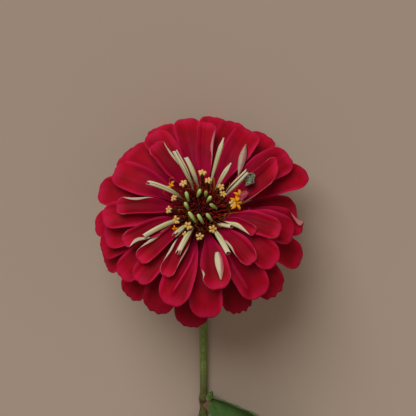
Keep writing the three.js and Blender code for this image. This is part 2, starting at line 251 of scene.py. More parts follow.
class Finish:
    # A material in the making: add makes a node of any kind, and the other methods are short for it.
    def __init__(self, name):
        self.material = bpy.data.materials.new(name)
        self.material.use_nodes = True
        self.tree = self.material.node_tree
        self.tree.nodes.clear()

    def add(self, kind, settings, sockets, output=0):
        node = self.tree.nodes.new(kind)
        for setting, value in settings.items():
            setattr(node, setting, value)
        for socket, value in sockets.items():
            if isinstance(value, Value):
                self.tree.links.new(value.socket, node.inputs[socket])
            else:
                node.inputs[socket].default_value = value
        return Value(self, node.outputs[output])

    def field(self, name):
        return self.add("ShaderNodeAttribute", {"attribute_name": name}, {}, "Fac")

    def place(self):
        return self.add("ShaderNodeTexCoord", {}, {}, "Object")

    def point(self, x, y, z):
        return self.add("ShaderNodeCombineXYZ", {}, {"X": x, "Y": y, "Z": z})

    def noise(self, vector, scale, detail=3.0, roughness=0.55):
        sockets = {"Vector": vector, "Scale": scale, "Detail": detail, "Roughness": roughness}
        return self.add("ShaderNodeTexNoise", {}, sockets, "Fac")

    def cells(self, vector, scale):
        return self.add("ShaderNodeTexVoronoi", {}, {"Vector": vector, "Scale": scale}, "Distance")

    def rise(self, value, low, high, floor=0.0, ceiling=1.0):
        # from floor to ceiling as value goes from low to high, eased at both ends
        sockets = {"Value": value, "From Min": low, "From Max": high, "To Min": floor, "To Max": ceiling}
        return self.add("ShaderNodeMapRange", {"interpolation_type": "SMOOTHSTEP"}, sockets)

    def rough(self, grain, low, high):
        # from low to high with the grain
        return self.rise(grain, 0.2, 0.8, low, high)

    def mix(self, share, first, second):
        first, second = (colour(c) if isinstance(c, str) else c for c in (first, second))
        return self.add("ShaderNodeMix", {"data_type": "RGBA"}, {0: share, 6: first, 7: second}, 2)

    def bump(self, height, depth, under=None):
        # height 0 to 1 stands for depth millimetres
        sockets = {"Height": height, "Strength": 1.0, "Distance": depth * millimetre}
        if under:
            sockets["Normal"] = under
        return self.add("ShaderNodeBump", {}, sockets, "Normal")

    def shade(self, base, roughness, specular, normal=None, scatter=None, more=None):
        # scatter is the share of light that goes under the skin, how far each of red, green and blue gets in
        # shares, and the scale of that in millimetres
        sockets = {"Base Color": base, "Roughness": roughness, "Specular IOR Level": specular, **(more or {})}
        if normal:
            sockets["Normal"] = normal
        if scatter:
            weight, radius, scale = scatter
            sockets["Subsurface Weight"] = weight
            sockets["Subsurface Radius"] = radius
            sockets["Subsurface Scale"] = scale * millimetre
        shader = self.add("ShaderNodeBsdfPrincipled", {}, sockets, "BSDF")
        output = self.tree.nodes.new("ShaderNodeOutputMaterial")
        self.tree.links.new(shader.socket, output.inputs["Surface"])
        return self.material


print("petals")

# What every petal starts from, in millimetres and degrees. A petal leaves the receptacle at reach and
# height, climbs at rise along its claw and arcs over to droop at its tip. cup is how far its edges turn up
# at the base and at the tip. rollLeft and rollRight are how far an edge is folded over the face, rollWidth
# the share of the half width folded at most, rollBend how gently, rollAt and rollSpread where along it.
petalShape = {
    "rows": 44,
    "columns": 34,
    "bendSteps": 200,
    "crossSteps": 40,
    "thickness": 0.34,
    "edgeThickness": 0.14,
    "clawShare": 0.2,
    "claw": 1.5,
    "widestAt": 0.62,
    "tipDepth": 1.2,
    "tipPower": 2.0,
    "tipNotch": 0.4,
    "notchWidth": 0.2,
    "teeth": 0.0,
    "toothCount": 4,
    "cupLeft": 1.0,
    "cupRight": 1.0,
    "rollLeft": 0,
    "rollRight": 0,
    "rollAt": 0.6,
    "rollSpread": 0.26,
    "rollWidth": 0.3,
    "leftShare": 1.0,
    "rollBend": 0.16,
    "bend": 0.0,  # how far the tip is bent aside
    "tipCurl": 0.0,
    "ridge": (0.0, 0.0, 0.2),  # place across, height, width as a share of the half width
    "wave": 0.3,
    "ribs": 0.07,
    "ridgeSlant": 0.0,  # how far a ridge runs aside from claw to tip
    "ridgeShadeDepth": 0.0,  # how deep the painted shade on the face is to the left of the ridge
    "taper": 0.0,  # how much of the width is gone at the tip
    "clearance": 0.03,  # the least height over the surface
}
# Petals before the disc lie the most in shadow: depth at one clock angle, less by a bell to either side.
petalShade = {"clock": 178, "spread": 48, "depth": 0.9}
# How far a petal's own draws move its values either way, after the start of those that have one.
petalVary = {
    "phase": 3,
    "waves": (1.6, 0.6),
    "ribCount": (4, 1.2),
    "twist": 4,
    "youngTwist": 2,
    "tipCurl": 8,
    "wave": 0.4,
}

petalWhorls = [
    {
        "name": "outer_petal", "look": "crimson", "reach": 8.2, "height": -11.2, "rise": 8, "droop": -56,
        "cup": (40, 12),
        "petals": [
            {"clock": 6, "length": 34.6, "half": 5.4, "droop": -43},
            {"clock": 36.5, "length": 35.2, "half": 5.4, "droop": -48},
            {"clock": 85, "length": 29.4, "half": 5.4},
            {"clock": 113, "length": 34.2, "half": 5.4},
            {"clock": 158, "length": 32.8, "half": 5.8, "cup": (40, -8), "teeth": 1.0, "toothCount": 5},
            {"clock": 186.5, "length": 35.6, "half": 6.5, "cup": (40, -10), "teeth": 0.4, "toothCount": 5},
            {"clock": 224, "length": 35.6, "half": 5.4, "teeth": 0.5, "toothCount": 4},
            {"clock": 245, "length": 35.6, "half": 5, "teeth": 0.4, "toothCount": 5},
            {"clock": 267, "length": 35.2, "half": 5.2},
            {"clock": 310, "length": 35.2, "half": 5.4},
            {"clock": 335, "length": 35.6, "half": 5.6, "droop": -52},
        ],
    },
    {
        "name": "second_petal", "look": "crimson", "reach": 8.2, "height": -9.6, "rise": 17, "droop": -50,
        "cup": (42, 14),
        "petals": [
            {"clock": 18, "length": 32.2, "half": 5.2, "droop": -46},
            {"clock": 67.5, "length": 35.6, "half": 5.6, "droop": -38, "tipDepth": 1.6, "tipPower": 1.7},
            {"clock": 96, "length": 30.8, "half": 4.8, "rollLeft": 150, "rollAt": 0.93, "rollSpread": 0.15,
             "rollWidth": 0.65},
            {"clock": 137.5, "length": 34.6, "half": 6.3, "cup": (42, -6), "teeth": 0.8, "toothCount": 4},
            {"clock": 206.5, "length": 34.8, "half": 6.2, "cup": (42, -8), "teeth": 0.4, "toothCount": 4},
            {"clock": 251, "length": 34.2, "half": 5.2},
        ],
    },
    {
        "name": "middle_petal", "look": "open", "reach": 8.1, "height": -7.8, "rise": 27, "droop": -44,
        "cup": (44, 26), "tipCurl": 8,
        "petals": [
            {"clock": 29.5, "length": 30, "half": 5.5},
            {"clock": 56.5, "length": 32, "half": 6},
            {"clock": 105, "length": 27.8, "half": 5.7},
            {"clock": 147, "length": 31.8, "half": 6.4, "ridge": (0.5, 1.35, 0.28), "cupLeft": 1.3},
            {"clock": 178, "length": 33.8, "half": 6.2},
            {"clock": 230.5, "length": 32.6, "half": 5},
            {"clock": 253.5, "length": 31, "half": 5.6},
            {"clock": 281.5, "length": 33, "half": 6},
            {"clock": 312, "length": 29.6, "half": 6},
            {"clock": 349.5, "length": 30.4, "half": 5.2},
        ],
    },
    {
        "name": "upper_petal", "look": "open", "reach": 8, "height": -6.2, "rise": 36, "droop": -36,
        "cup": (46, 36), "tipCurl": 18,
        "petals": [
            {"clock": 2.4, "length": 26.2, "half": 3.9, "cup": (46, 44), "rollRight": 150, "rollWidth": 0.26,
             "rollSpread": 0.22},
            {"clock": 129, "length": 27.6, "half": 5.7},
            {"clock": 197.5, "length": 32.6, "half": 6, "cup": (46, 30), "ridge": (-0.5, 1.7, 0.14),
             "ridgeSlant": 1.7, "ridgeShadeDepth": 1.0},
            {"clock": 220, "length": 30.4, "half": 4.6},
            {"clock": 263, "length": 30.6, "half": 5.3},
            {"clock": 292, "length": 29, "half": 5.7},
            {"clock": 326, "length": 28, "half": 5.4},
        ],
    },
    {
        "name": "inner_petal", "look": "inner", "reach": 7.9, "height": -4.7, "rise": 45, "droop": -26,
        "cup": (60, 62), "claw": 1.1, "tipCurl": 26,
        "petals": [
            {"clock": 82, "length": 23.6, "half": 5.3, "bend": -11.5, "cup": (60, 50), "rollRight": 110,
             "rollSpread": 0.45, "rollWidth": 0.07},
            {"clock": 111, "length": 24.4, "half": 4.4, "cup": (60, 34)},
            {"clock": 141, "length": 22.8, "half": 4.4, "rollRight": 140, "rollAt": 0.6, "rollSpread": 0.13,
             "rollWidth": 0.17, "widestAt": 0.76},
            {"clock": 170, "length": 27.2, "half": 6.1, "cup": (60, 44), "widestAt": 0.88, "rollRight": 140,
             "rollAt": 0.78, "rollSpread": 0.06, "rollWidth": 0.14},
            {"clock": 206.5, "length": 25.2, "half": 3.6, "droop": -20, "rollLeft": 100, "rollRight": 130,
             "rollAt": 0.62, "rollSpread": 0.18, "rollWidth": 0.18, "leftShare": 0.7},
            {"clock": 227, "length": 26, "half": 3.8, "rollRight": 150, "rollAt": 0.6, "rollSpread": 0.22,
             "rollWidth": 0.27},
            {"clock": 242, "length": 26.8, "half": 3.9, "rollLeft": 160, "rollAt": 0.84, "rollSpread": 0.14,
             "rollWidth": 0.5},
            {"clock": 267, "length": 26, "half": 4, "rollRight": 150, "rollAt": 0.7, "rollSpread": 0.17,
             "rollWidth": 0.21},
            {"clock": 321.5, "length": 23.4, "half": 4.1, "rollRight": 155, "rollAt": 0.66,
             "rollSpread": 0.24, "rollWidth": 0.22},
        ],
    },
    {
        "name": "young_petal", "look": "young", "reach": 7.7, "height": -2.9, "rise": 50, "droop": 8,
        "cup": (165, 180), "claw": 0.9, "tipDepth": 0.25, "tipNotch": 0.0, "wave": 0.08, "ribs": 0.05,
        "petals": [
            {"clock": 17.5, "length": 20.4, "half": 2.1, "droop": -4, "cup": (155, 150), "cupLeft": 1.3,
             "cupRight": 1.1, "claw": 0.6, "widestAt": 0.78, "taper": 0.85},
            {"clock": 34, "length": 12.8, "half": 2.3, "widestAt": 0.7, "taper": 0.8, "cupLeft": 1.25},
            {"clock": 62, "length": 14.6, "half": 3, "cup": (160, 174), "bend": -2.4},
            {"clock": 123, "length": 16.8, "half": 2.9, "droop": 0, "cup": (120, 84), "rollRight": 80,
             "rollAt": 0.6, "rollWidth": 0.55, "rollBend": 0.3, "tipDepth": 0.8, "bend": -0.4,
             "look": "opening"},
            {"clock": 138.5, "length": 8.2, "half": 2.1, "droop": 36, "bend": -2, "cupLeft": 1.15},
            {"clock": 155.5, "length": 17.8, "half": 2.6, "droop": 16, "cupLeft": 1.18, "cupRight": 0.97},
            {"clock": 204.7, "length": 17.2, "half": 2.7, "teeth": 1.2, "toothCount": 4, "cupRight": 1.2},
            {"clock": 219.5, "length": 12, "half": 2.4, "droop": 30, "teeth": 1.8, "toothCount": 3,
             "cupRight": 1.1},
            {"clock": 238.3, "length": 20, "half": 2.2, "droop": -6, "cupRight": 1.18, "cupLeft": 0.97},
            {"clock": 294, "length": 16.8, "half": 2.25, "teeth": 1.4, "toothCount": 2, "cupLeft": 1.2,
             "bend": -1.9},
            {"clock": 333.5, "length": 16.8, "half": 2.5, "cup": (165, 160), "cupLeft": 1.2, "bend": -0.8},
            {"clock": 346.5, "length": 12.6, "half": 2.4, "cup": (175, 184), "cupRight": 1.18, "bend": -2},
        ],
    },
]

# The hollow colour is painted shade down the middle of a petal's face, and shadow is painted shade on the
# petals near one clock angle. The margin colour is the pinker rim, with a painted highlight on the lit
# margin, the tip and a ridge's crest.
petalLooks = {
    "crimson": {
        "deep": "#9c0010", "face": "#c20020", "claw": "#b00046", "marginAndHighlight": "#e01a5c", "marginShare": 0.4,
        "hollowShade": "#5c0006", "hollowShadeShare": 0.32, "shadow": "#3a0208", "shadowShare": 0.5,
        "back": "#c07c78", "backNerve": "#9c5654", "backTip": "#cc8480", "backMargin": "#b03050",
        "blushFrom": 0.1, "streaks": 3.0,
    },
    "inner": {
        "deep": "#980010", "face": "#c00020", "claw": "#b2004a", "marginAndHighlight": "#e42464", "marginShare": 0.46,
        "hollowShade": "#540006", "hollowShadeShare": 0.5, "shadow": "#3a0208", "shadowShare": 0.0,
        "back": "#cec6a6", "backNerve": "#b8b48a", "backTip": "#d8c0ac", "backMargin": "#b83c58",
        "blushFrom": 0.6, "streaks": 3.0,
    },
    "young": {
        "deep": "#5c000c", "face": "#900014", "claw": "#800020", "marginAndHighlight": "#c07070", "marginShare": 0.5,
        "hollowShade": "#300004", "hollowShadeShare": 0.5, "shadow": "#3a0208", "shadowShare": 0.0,
        "back": "#d8daa8", "backNerve": "#8e9a56", "backTip": "#e6dabc", "backMargin": "#c49a8c",
        "blushFrom": 0.6, "streaks": 4.0,
    },
}
petalLooks["opening"] = {**petalLooks["inner"], "back": petalLooks["young"]["back"], "hollowShadeShare": 0.2}
petalLooks["open"] = {
    **petalLooks["inner"], "back": "#cc988c", "backNerve": "#ac7066", "backTip": "#c05868", "blushFrom": 0.2,
    "hollowShadeShare": 0.3,
}
petalSkin = {
    "roughness": (0.58, 0.78),
    "specular": 0.12,
    "sheen": {"Sheen Weight": 0.12, "Sheen Roughness": 0.35, "Sheen Tint": colour("#ff2070")},
    "scatter": (0.12, (1.0, 0.1, 0.15), 0.6),
    "fineDepth": 0.02,
    "ridgeDepth": 0.1,
}


def petalFinish(name, look):
    # The face has long streaks and is more purple at the claw, with painted shade in the hollow down its
    # middle and past a ridge, and a painted highlight on a ridge's crest and on the thin margin and tip,
    # whose pinker rim is partly the petal's own. Painted shade darkens it near one clock angle, the most at
    # the claw.
    # The back is pale with greener nerves and blushes towards the tip.
    finish = Finish(name)
    along = finish.field("along")
    across = finish.field("across")
    under = finish.field("under")
    tone = finish.field("tone")
    length = finish.point(across * look["streaks"], along * 1.4, tone * 31)
    streak = finish.noise(length, 1.0, 4.0, 0.6)
    nerve = finish.noise(finish.point(across * 16, along * 0.9, tone * 17), 1.0, 2.0)
    cloud = finish.noise(finish.place(), 140.0, 2.0)
    face = finish.mix(finish.rise(streak * 0.4 + cloud * 0.6, 0.36, 0.64), look["deep"], look["face"])
    face = finish.mix(finish.rise(nerve, 0.5, 0.8) * 0.25, face, look["deep"])
    face = finish.mix(finish.rise(along, 0.1, 0.8, 0.75, 0.1), face, look["claw"])
    # the margin colour along the edges and at the tip: the petal's pinker rim, and a painted highlight where
    # the margin and tip catch the light
    rim = finish.rise(across * across, 0.45, 1.0) * finish.rise(along, 0.15, 0.5)
    rim = rim + finish.rise(along, 0.84, 1.0) * 0.8
    # painted shade down the middle of the face, and on the side past a ridge
    hollowShade = finish.rise(across * across, 0.82, 0.22) * finish.rise(along, 0.98, 0.74)
    hollowShade = hollowShade * finish.rise(along, 0.22, 0.46) + finish.field("ridgeShade")
    face = finish.mix(hollowShade * look["hollowShadeShare"], face, look["hollowShade"])
    face = finish.mix(rim * look["marginShare"], face, look["marginAndHighlight"])
    # painted highlight along a ridge's crest
    face = finish.mix(finish.rise(finish.field("crest"), 0.9, 1.7) * 0.5, face, look["marginAndHighlight"])
    shade = finish.field("shade")
    face = finish.mix(shade * finish.rise(along, 0.42, 0.12), face, look["shadow"])
    face = finish.mix(shade * look["shadowShare"], face, look["shadow"])
    back = finish.mix(finish.rise(nerve, 0.48, 0.66) * 0.8, look["back"], look["backNerve"])
    blush = finish.rise(along + streak * 0.3, look["blushFrom"] + 0.15, 1.2)
    back = finish.mix(blush, back, look["backTip"])
    back = finish.mix(finish.rise(across * across, 0.86, 0.98), back, look["backMargin"])
    base = finish.mix(finish.rise(under, 0.35, 0.65), face, back)
    ridges = finish.bump(streak * 0.6 + nerve * 0.4, petalSkin["ridgeDepth"])
    fine = finish.bump(finish.noise(finish.place(), 2600.0, 2.0), petalSkin["fineDepth"], ridges)
    rough = finish.rough(streak, *petalSkin["roughness"])
    return finish.shade(base, rough, petalSkin["specular"], fine, petalSkin["scatter"], petalSkin["sheen"])


def summed(values, step):
    # running sum of a curve taken in equal steps, by the mean of each step's ends
    return np.concatenate([[0], np.cumsum((values[1:] + values[:-1]) / 2 * step)])


def petalSurface(petal):
    # Down the middle: a straight claw, then a bend from rise to droop, summed in short steps. Across it, the
    # tangent turns by cup over the half width, and by roll more past a fold line that bows in from the edge.
    # The means of its cosine and sine, times the width, give the offsets sideways and over the middle. Ribs,
    # a ridge with a bell's profile and waves along the edge are added along the normal.
    along = np.linspace(0, 1, petal["rows"])[:, None]
    spread = np.sin(np.linspace(-0.5, 0.5, petal["columns"]) * np.pi)[None]
    edge = np.abs(spread)
    left = spread < 0
    power = petal["tipPower"]
    tip = petal["tipDepth"] * petal["half"] * (1 - (1 - clamp(edge) ** power) ** (1 / power))
    notch = petal["tipNotch"] * np.exp(-((spread / petal["notchWidth"]) ** 2))
    teeth = petal["teeth"] * (0.5 - 0.5 * np.cos(petal["toothCount"] * np.pi * (spread + petal["phase"])))
    distance = along * (petal["length"] - tip - notch - teeth)
    part = distance / petal["length"]

    steps = np.linspace(0, petal["length"], petal["bendSteps"])
    clawLength = petal["clawShare"] * petal["length"]
    bent = clamp((steps - clawLength) / (petal["length"] - clawLength))
    slopes = blend(petal["rise"], petal["droop"], bent)
    slopes = np.radians(slopes + petal["tipCurl"] * smoothStep(steps / petal["length"], 0.72, 1))
    reach = petal["reach"] + np.interp(distance, steps, summed(np.cos(slopes), steps[1]))
    height = petal["height"] + np.interp(distance, steps, summed(np.sin(slopes), steps[1]))
    slope = np.interp(distance, steps, slopes)

    halfWidth = blend(petal["claw"], petal["half"], smoothStep(part, 0.04, petal["widestAt"]))
    halfWidth = halfWidth * (1 - petal["taper"] * smoothStep(part, petal["widestAt"], 1))
    cup = blend(petal["cup"][0], petal["cup"][1], part) * np.where(left, petal["cupLeft"], petal["cupRight"])
    lens = np.exp(-(((part - petal["rollAt"]) / petal["rollSpread"]) ** 2))
    foldLine = 1 - petal["rollWidth"] * lens * np.where(left, petal["leftShare"], 1)
    roll = np.where(left, petal["rollLeft"], petal["rollRight"]) * smoothStep(lens, 0.02, 0.4)

    def tangent(at, cup, roll, foldLine):
        folded = smoothStep(at - foldLine, -petal["rollBend"] / 2, petal["rollBend"] / 2)
        return np.radians(cup * at + roll * folded)

    shares = (np.arange(petal["crossSteps"]) + 0.5) / petal["crossSteps"]
    angles = tangent(edge[..., None] * shares, cup[..., None], roll[..., None], foldLine[..., None])
    side = np.sign(spread) * edge * halfWidth * np.cos(angles).mean(-1)
    over = edge * halfWidth * np.sin(angles).mean(-1)
    angle = np.sign(spread) * tangent(edge, cup, roll, foldLine)

    turn = np.radians(petal["twist"]) * part
    side, over = side * np.cos(turn) - over * np.sin(turn), side * np.sin(turn) + over * np.cos(turn)
    angle = angle + turn
    side = side + petal["bend"] * part * part

    clock = np.radians(petal["clock"])
    outward = np.array([np.sin(clock), np.cos(clock), 0])
    sideways = np.array([np.cos(clock), -np.sin(clock), 0])
    up = np.array([0, 0, 1])
    tilted = -np.sin(slope)[..., None] * outward + np.cos(slope)[..., None] * up
    normal = np.cos(angle)[..., None] * tilted - np.sin(angle)[..., None] * sideways

    ridgeAt, ridgeHeight, ridgeWidth = petal["ridge"]
    grown = smoothStep(part, 0.12, 0.45)
    relief = petal["ribs"] * grown * np.cos(petal["ribCount"] * np.pi * spread + petal["phase"])
    ridgeLine = ridgeAt + petal["ridgeSlant"] * (part - 0.5)
    crest = ridgeHeight * grown * np.exp(-(((spread - ridgeLine) / ridgeWidth) ** 2))
    crest = crest * smoothStep(-part, -0.94, -0.78)
    # painted shade on the face to the left of the ridge, read by the finish
    ridgeShade = petal["ridgeShadeDepth"] * smoothStep(ridgeLine - spread, 0.05, 0.4)
    relief = relief + crest
    ripple = np.sin(2 * np.pi * petal["waves"] * part + petal["phase"] * np.where(left, 7, 11))
    relief = relief + petal["wave"] * edge**3 * grown * ripple
    middle = outward * reach[..., None] + up * height[..., None]
    middle = middle + sideways * side[..., None] + tilted * over[..., None] + normal * relief[..., None]
    thickness = blend(petal["thickness"], petal["edgeThickness"], edge**3)
    thickness = thickness * (1 - 0.4 * smoothStep(part, 0.8, 1))
    return middle[None], normal[None], thickness[None], part[None], spread[None], crest, ridgeShade


def liftedClear(points, clearance):
    # both skins of one sheet are raised together wherever the lower one would go under the surface
    skins = points.reshape(2, -1, 3)
    skins[..., 2] += np.maximum(clearance - skins[..., 2].min(0), 0)
    return skins.reshape(-1, 3)


def shadeOf(clock):
    # the depth times a bell of the distance to the darkest clock angle
    return petalShade["depth"] * np.exp(-(((clock - petalShade["clock"]) / petalShade["spread"]) ** 2))


petalDraw = np.random.default_rng(11)
petalMaterials = {look: petalFinish("petal_" + look, values) for look, values in petalLooks.items()}
for whorl in petalWhorls:
    young = whorl["name"] == "young_petal"
    for number, own in enumerate(whorl["petals"], 1):
        drawn = petalDraw.uniform(-1, 1, 8)
        varied = {
            "phase": petalVary["phase"] * drawn[0],
            "waves": petalVary["waves"][0] + petalVary["waves"][1] * drawn[1],
            "ribCount": petalVary["ribCount"][0] + petalVary["ribCount"][1] * drawn[2],
            "twist": petalVary["youngTwist"] if young else petalVary["twist"] * drawn[3],
        }
        petal = {**petalShape, **varied, **whorl, **own}
        petal["tipCurl"] = petal["tipCurl"] + (0 if young else petalVary["tipCurl"] * drawn[4])
        petal["wave"] = petal["wave"] * (1 + petalVary["wave"] * drawn[5])
        middle, normal, thickness, part, spread, crest, ridgeShade = petalSurface(petal)
        points, faceLists = closedSheets(middle, normal, thickness)
        fields = {
            "along": bothSkins(part, part.shape),
            "across": bothSkins(spread, part.shape),
            "crest": bothSkins(crest, part.shape),
            "ridgeShade": bothSkins(ridgeShade, part.shape),
            "under": underSide(part.shape),
            "tone": bothSkins(0.5 + 0.5 * drawn[6], part.shape),
            "shade": bothSkins(shadeOf(petal["clock"]), part.shape),
        }
        name = f"{whorl['name']}_{number:02d}"
        points = liftedClear(headToRow(points), petalShape["clearance"])
        body = (points, faceLists, fields)
        makePiece("blade_" + name, body, petalMaterials[petal["look"]], [name])


print("disc")

discShape = {
    "receptacle": [
        [0, -21.5], [5, -20.5], [7.4, -17], [7.5, -11], [7.2, -6], [6.6, -3.4], [5.6, -1.2], [3.4, 0],
        [0, -0.6],
    ],
    "receptacleSteps": 40,
    "receptacleSides": 64,
    "chaffCount": 300,
    "chaffReach": 7.2,
    "chaffLength": (1.7, 4.8),  # in the middle of the disc, and at its rim
    "chaffHalf": 0.42,
    "chaffLean": 52,
    "chaffSunk": 0.3,
    "chaffThickness": (0.14, 0.07),  # at the foot, and how much less at the tip
    "chaffVary": (6, 7, 0.2),  # clock angle, lean and share of the length, either way
    "openFoot": (5.6, -2.4),  # reach and height
    "openSize": 1.32,
    "orangeTube": 0.3,  # the tube's size as a share of an orange floret's
    "closedHeights": (1.8, 5.0),
    "closedShift": -0.6,
    "closedRadius": 0.7,
    "closedOver": 0.35,  # how far the closed top stands over the tip
    "closedSides": 20,
}
# clock angle, reach, height and size of the open florets
openFlorets = [
    (358.9, 11.1, 3.6, 1.1), (316.2, 9.9, 3.6, 1.05), (13.1, 8.5, 3.6, 1.0), (47.6, 8.6, 3.6, 1.0),
    (65.3, 7.8, 3.6, 0.95), (280.1, 10.4, 3.6, 0.9), (259, 12.2, 3.6, 1.0), (236.4, 11.1, 3.6, 1.05),
    (212.4, 9.8, 3.6, 1.1), (208.2, 12.9, 3.4, 0.85), (185, 12.2, 3.6, 1.05), (159.8, 10, 3.6, 1.1),
    (93, 10.4, 4.8, 1.0),
]
# clock angle and reach of the middle of each closed floret, how far its tip leans to the right and down the
# face from its foot, and how green it is
closedFlorets = [
    (297, 6.2, -0.9, 2.7, 1.0), (263, 5.7, -1.3, 2.0, 1.0), (217, 6, -2.6, 3.2, 1.0),
    (187, 5.5, -2.1, 2.7, 1.0), (153, 5.4, -2.1, 2.0, 0.8), (339, 4.4, 1.1, 2.0, 1.0),
    (15, 4, 0.1, 1.2, 0.3), (46, 2.8, 1.4, 1.2, 1.0), (100, 4, -2.5, 0.9, 0.5),
]
# clock angle, reach, height and size of the fully open orange ones
orangeFlorets = [(90, 11.6, 3.4, 3.4), (79.5, 12.9, 3.4, 2.8), (299.6, 13.2, 2.8, 2.4), (226, 13.4, 2.8, 1.5)]
discLooks = {
    "chaffDark": "#3c0808",
    "chaffRed": "#8c1512",
    "chaffTip": "#b05a2c",
    "closedTop": "#bcdc80",
    "closedLow": "#7c8f48",
    "closedFoot": "#4a1010",
    "closedAged": "#8d8a4a",
    "starTop": "#edc676",
    # the low colour of each kind of floret is painted shade between its lobes and down its tube
    "starShade": "#2e1008",
    "starSpots": "#a06a2c",
    "orangeTop": "#ffac0c",
    "orangeShade": "#7a2c0c",
}


def chaffFinish():
    finish = Finish("disc_chaff")
    along = finish.field("along")
    tone = finish.field("tone")
    grain = finish.noise(finish.place(), 1800.0, 3.0)
    red = finish.rise(along + tone * 0.5, 0.3, 1.3)
    base = finish.mix(red, discLooks["chaffDark"], discLooks["chaffRed"])
    base = finish.mix(finish.rise(along, 0.7, 1.0) * finish.rise(tone, 0.3, 1.0), base, discLooks["chaffTip"])
    return finish.shade(base, finish.rough(grain, 0.5, 0.8), 0.12, finish.bump(grain, 0.06))


def floretFinish(name, top, low, spots):
    # "along" runs from the foot, up the tube and out over the lobes
    finish = Finish(name)
    along = finish.field("along")
    tone = finish.field("tone")
    grain = finish.noise(finish.place(), 2400.0, 3.0)
    # the low colour at the tube and the lobes' bases is painted shade between the lobes; the top colour is
    # the lobes' own
    base = finish.mix(finish.rise(along + grain * 0.1, 0.3, 0.6), low, top)
    base = finish.mix(finish.rise(grain, 0.55, 0.75) * 0.5, base, spots)
    base = finish.mix(tone * 0.15, base, spots)
    scatter = (0.15, (1.0, 0.6, 0.2), 0.3)
    return finish.shade(base, finish.rough(grain, 0.6, 0.9), 0.15, finish.bump(grain, 0.12), scatter)


def closedFinish():
    finish = Finish("disc_closed")
    along = finish.field("along")
    tone = finish.field("tone")
    grain = finish.noise(finish.place(), 1500.0, 2.0)
    low = finish.rise(along + grain * 0.2, 0.0, 0.35)
    base = finish.mix(low, discLooks["closedFoot"], discLooks["closedLow"])
    top = finish.mix(tone, discLooks["closedAged"], discLooks["closedTop"])
    base = finish.mix(finish.rise(along + grain * 0.15, 0.25, 0.85), base, top)
    scatter = (0.15, (0.6, 1.0, 0.3), 0.4)
    return finish.shade(base, finish.rough(grain, 0.42, 0.6), 0.4, finish.bump(grain, 0.05), scatter)


def profileCurve(profile, count):
    # points at even steps along a line through the profile's points, its corners rounded by a running mean
    profile = np.array(profile, float)
    spans = np.linalg.norm(np.diff(profile, axis=0), axis=1)
    along = np.concatenate([[0], np.cumsum(spans)])
    fineSteps = 241
    aside = 8  # steps that the mean takes in on either side
    fine = np.linspace(0, along[-1], fineSteps)
    curve = np.stack([np.interp(fine, along, profile[:, k]) for k in (0, 1)], -1)
    padded = np.concatenate([[curve[0]] * aside, curve, [curve[-1]] * aside])
    window = np.full(2 * aside + 1, 1 / (2 * aside + 1))
    smoothed = np.stack([np.convolve(padded[:, k], window, "valid") for k in (0, 1)], -1)
    smoothed[[0, -1]] = curve[[0, -1]]
    shares = np.linspace(0, along[-1], count)
    return np.stack([np.interp(shares, fine, smoothed[:, k]) for k in (0, 1)], -1)


def receptacleBody():
    # the smoothed profile carried round the head's axis
    curve = profileCurve(discShape["receptacle"], discShape["receptacleSteps"] + 2)
    reach, height = curve[1:-1, 0], curve[1:-1, 1]
    turn = turns(discShape["receptacleSides"])
    grain = 0.08 * np.sin(9 * turn + 2.0 * height[:, None]) * np.sin(5 * turn - 3.0 * reach[:, None])
    reach = reach[:, None] + grain
    rings = np.stack(np.broadcast_arrays(reach * np.cos(turn), reach * np.sin(turn), height[:, None]), -1)
    foot, top = ([[0, 0, curve[k, 1]]] for k in (0, -1))
    points, faceLists = closedTubes(rings[None], np.array(foot), np.array(top))
    fields = {"along": np.full(len(points), 0.2), "tone": np.full(len(points), 0.0)}
    return points, faceLists, fields


def chaffBodies(draw):
    # Scales set on the disc at steps of the golden angle, their reach growing as the square root of their
    # number. Each is a pointed blade, a half sine wide, that leans out and bends with the square of its
    # length.
    count = discShape["chaffCount"]
    number = np.arange(count)
    jitter = draw.uniform(-1, 1, (4, count))
    reach = discShape["chaffReach"] * np.sqrt((number + 0.5) / count)
    clockVary, leanVary, lengthVary = discShape["chaffVary"]
    clock = goldenAngle * number + clockVary * jitter[0]
    top = np.array(discShape["receptacle"])[:3:-1]
    foot = headPoint(clock, reach, np.interp(reach, top[:, 0], top[:, 1]) - discShape["chaffSunk"])
    share = reach / discShape["chaffReach"]
    lean = np.radians(discShape["chaffLean"] * share**1.4 + leanVary * jitter[1])
    outward = headPoint(clock, 1.0, 0.0)
    axis = outward * np.sin(lean)[:, None] + np.array([0, 0, 1]) * np.cos(lean)[:, None]
    sideways = headPoint(clock + 90, 1.0, 0.0)
    over = np.cross(sideways, axis)
    length = blend(*discShape["chaffLength"], share) * (1 + lengthVary * jitter[2])
    u = np.linspace(0, 1, 7)[None, :, None]
    v = np.linspace(-1, 1, 4)[None, None, :]
    half = discShape["chaffHalf"] * (1.1 - 0.3 * share)[:, None, None]
    width = half * (0.25 + np.sin(np.pi * u**0.75) ** 0.8) * (1 - 0.6 * u)
    curl = (0.5 + 0.5 * jitter[3])[:, None, None] * u * u - 0.35 * v * v * width
    lift = length[:, None, None] * (u + 0.05 * np.abs(v) * u)
    middle = foot[:, None, None] + axis[:, None, None] * lift[..., None]
    middle = middle + sideways[:, None, None] * (v * width)[..., None] - over[:, None, None] * curl[..., None]
    thick, thinner = discShape["chaffThickness"]
    thickness = np.broadcast_to(thick - thinner * u, lift.shape)
    points, faceLists = closedSheets(middle, sheetNormals(middle), thickness)
    tone = clamp(0.5 + 0.5 * draw.uniform(-1, 1, count))[:, None, None]
    fields = {"along": bothSkins(u, lift.shape), "tone": bothSkins(tone, lift.shape)}
    return points, faceLists, fields


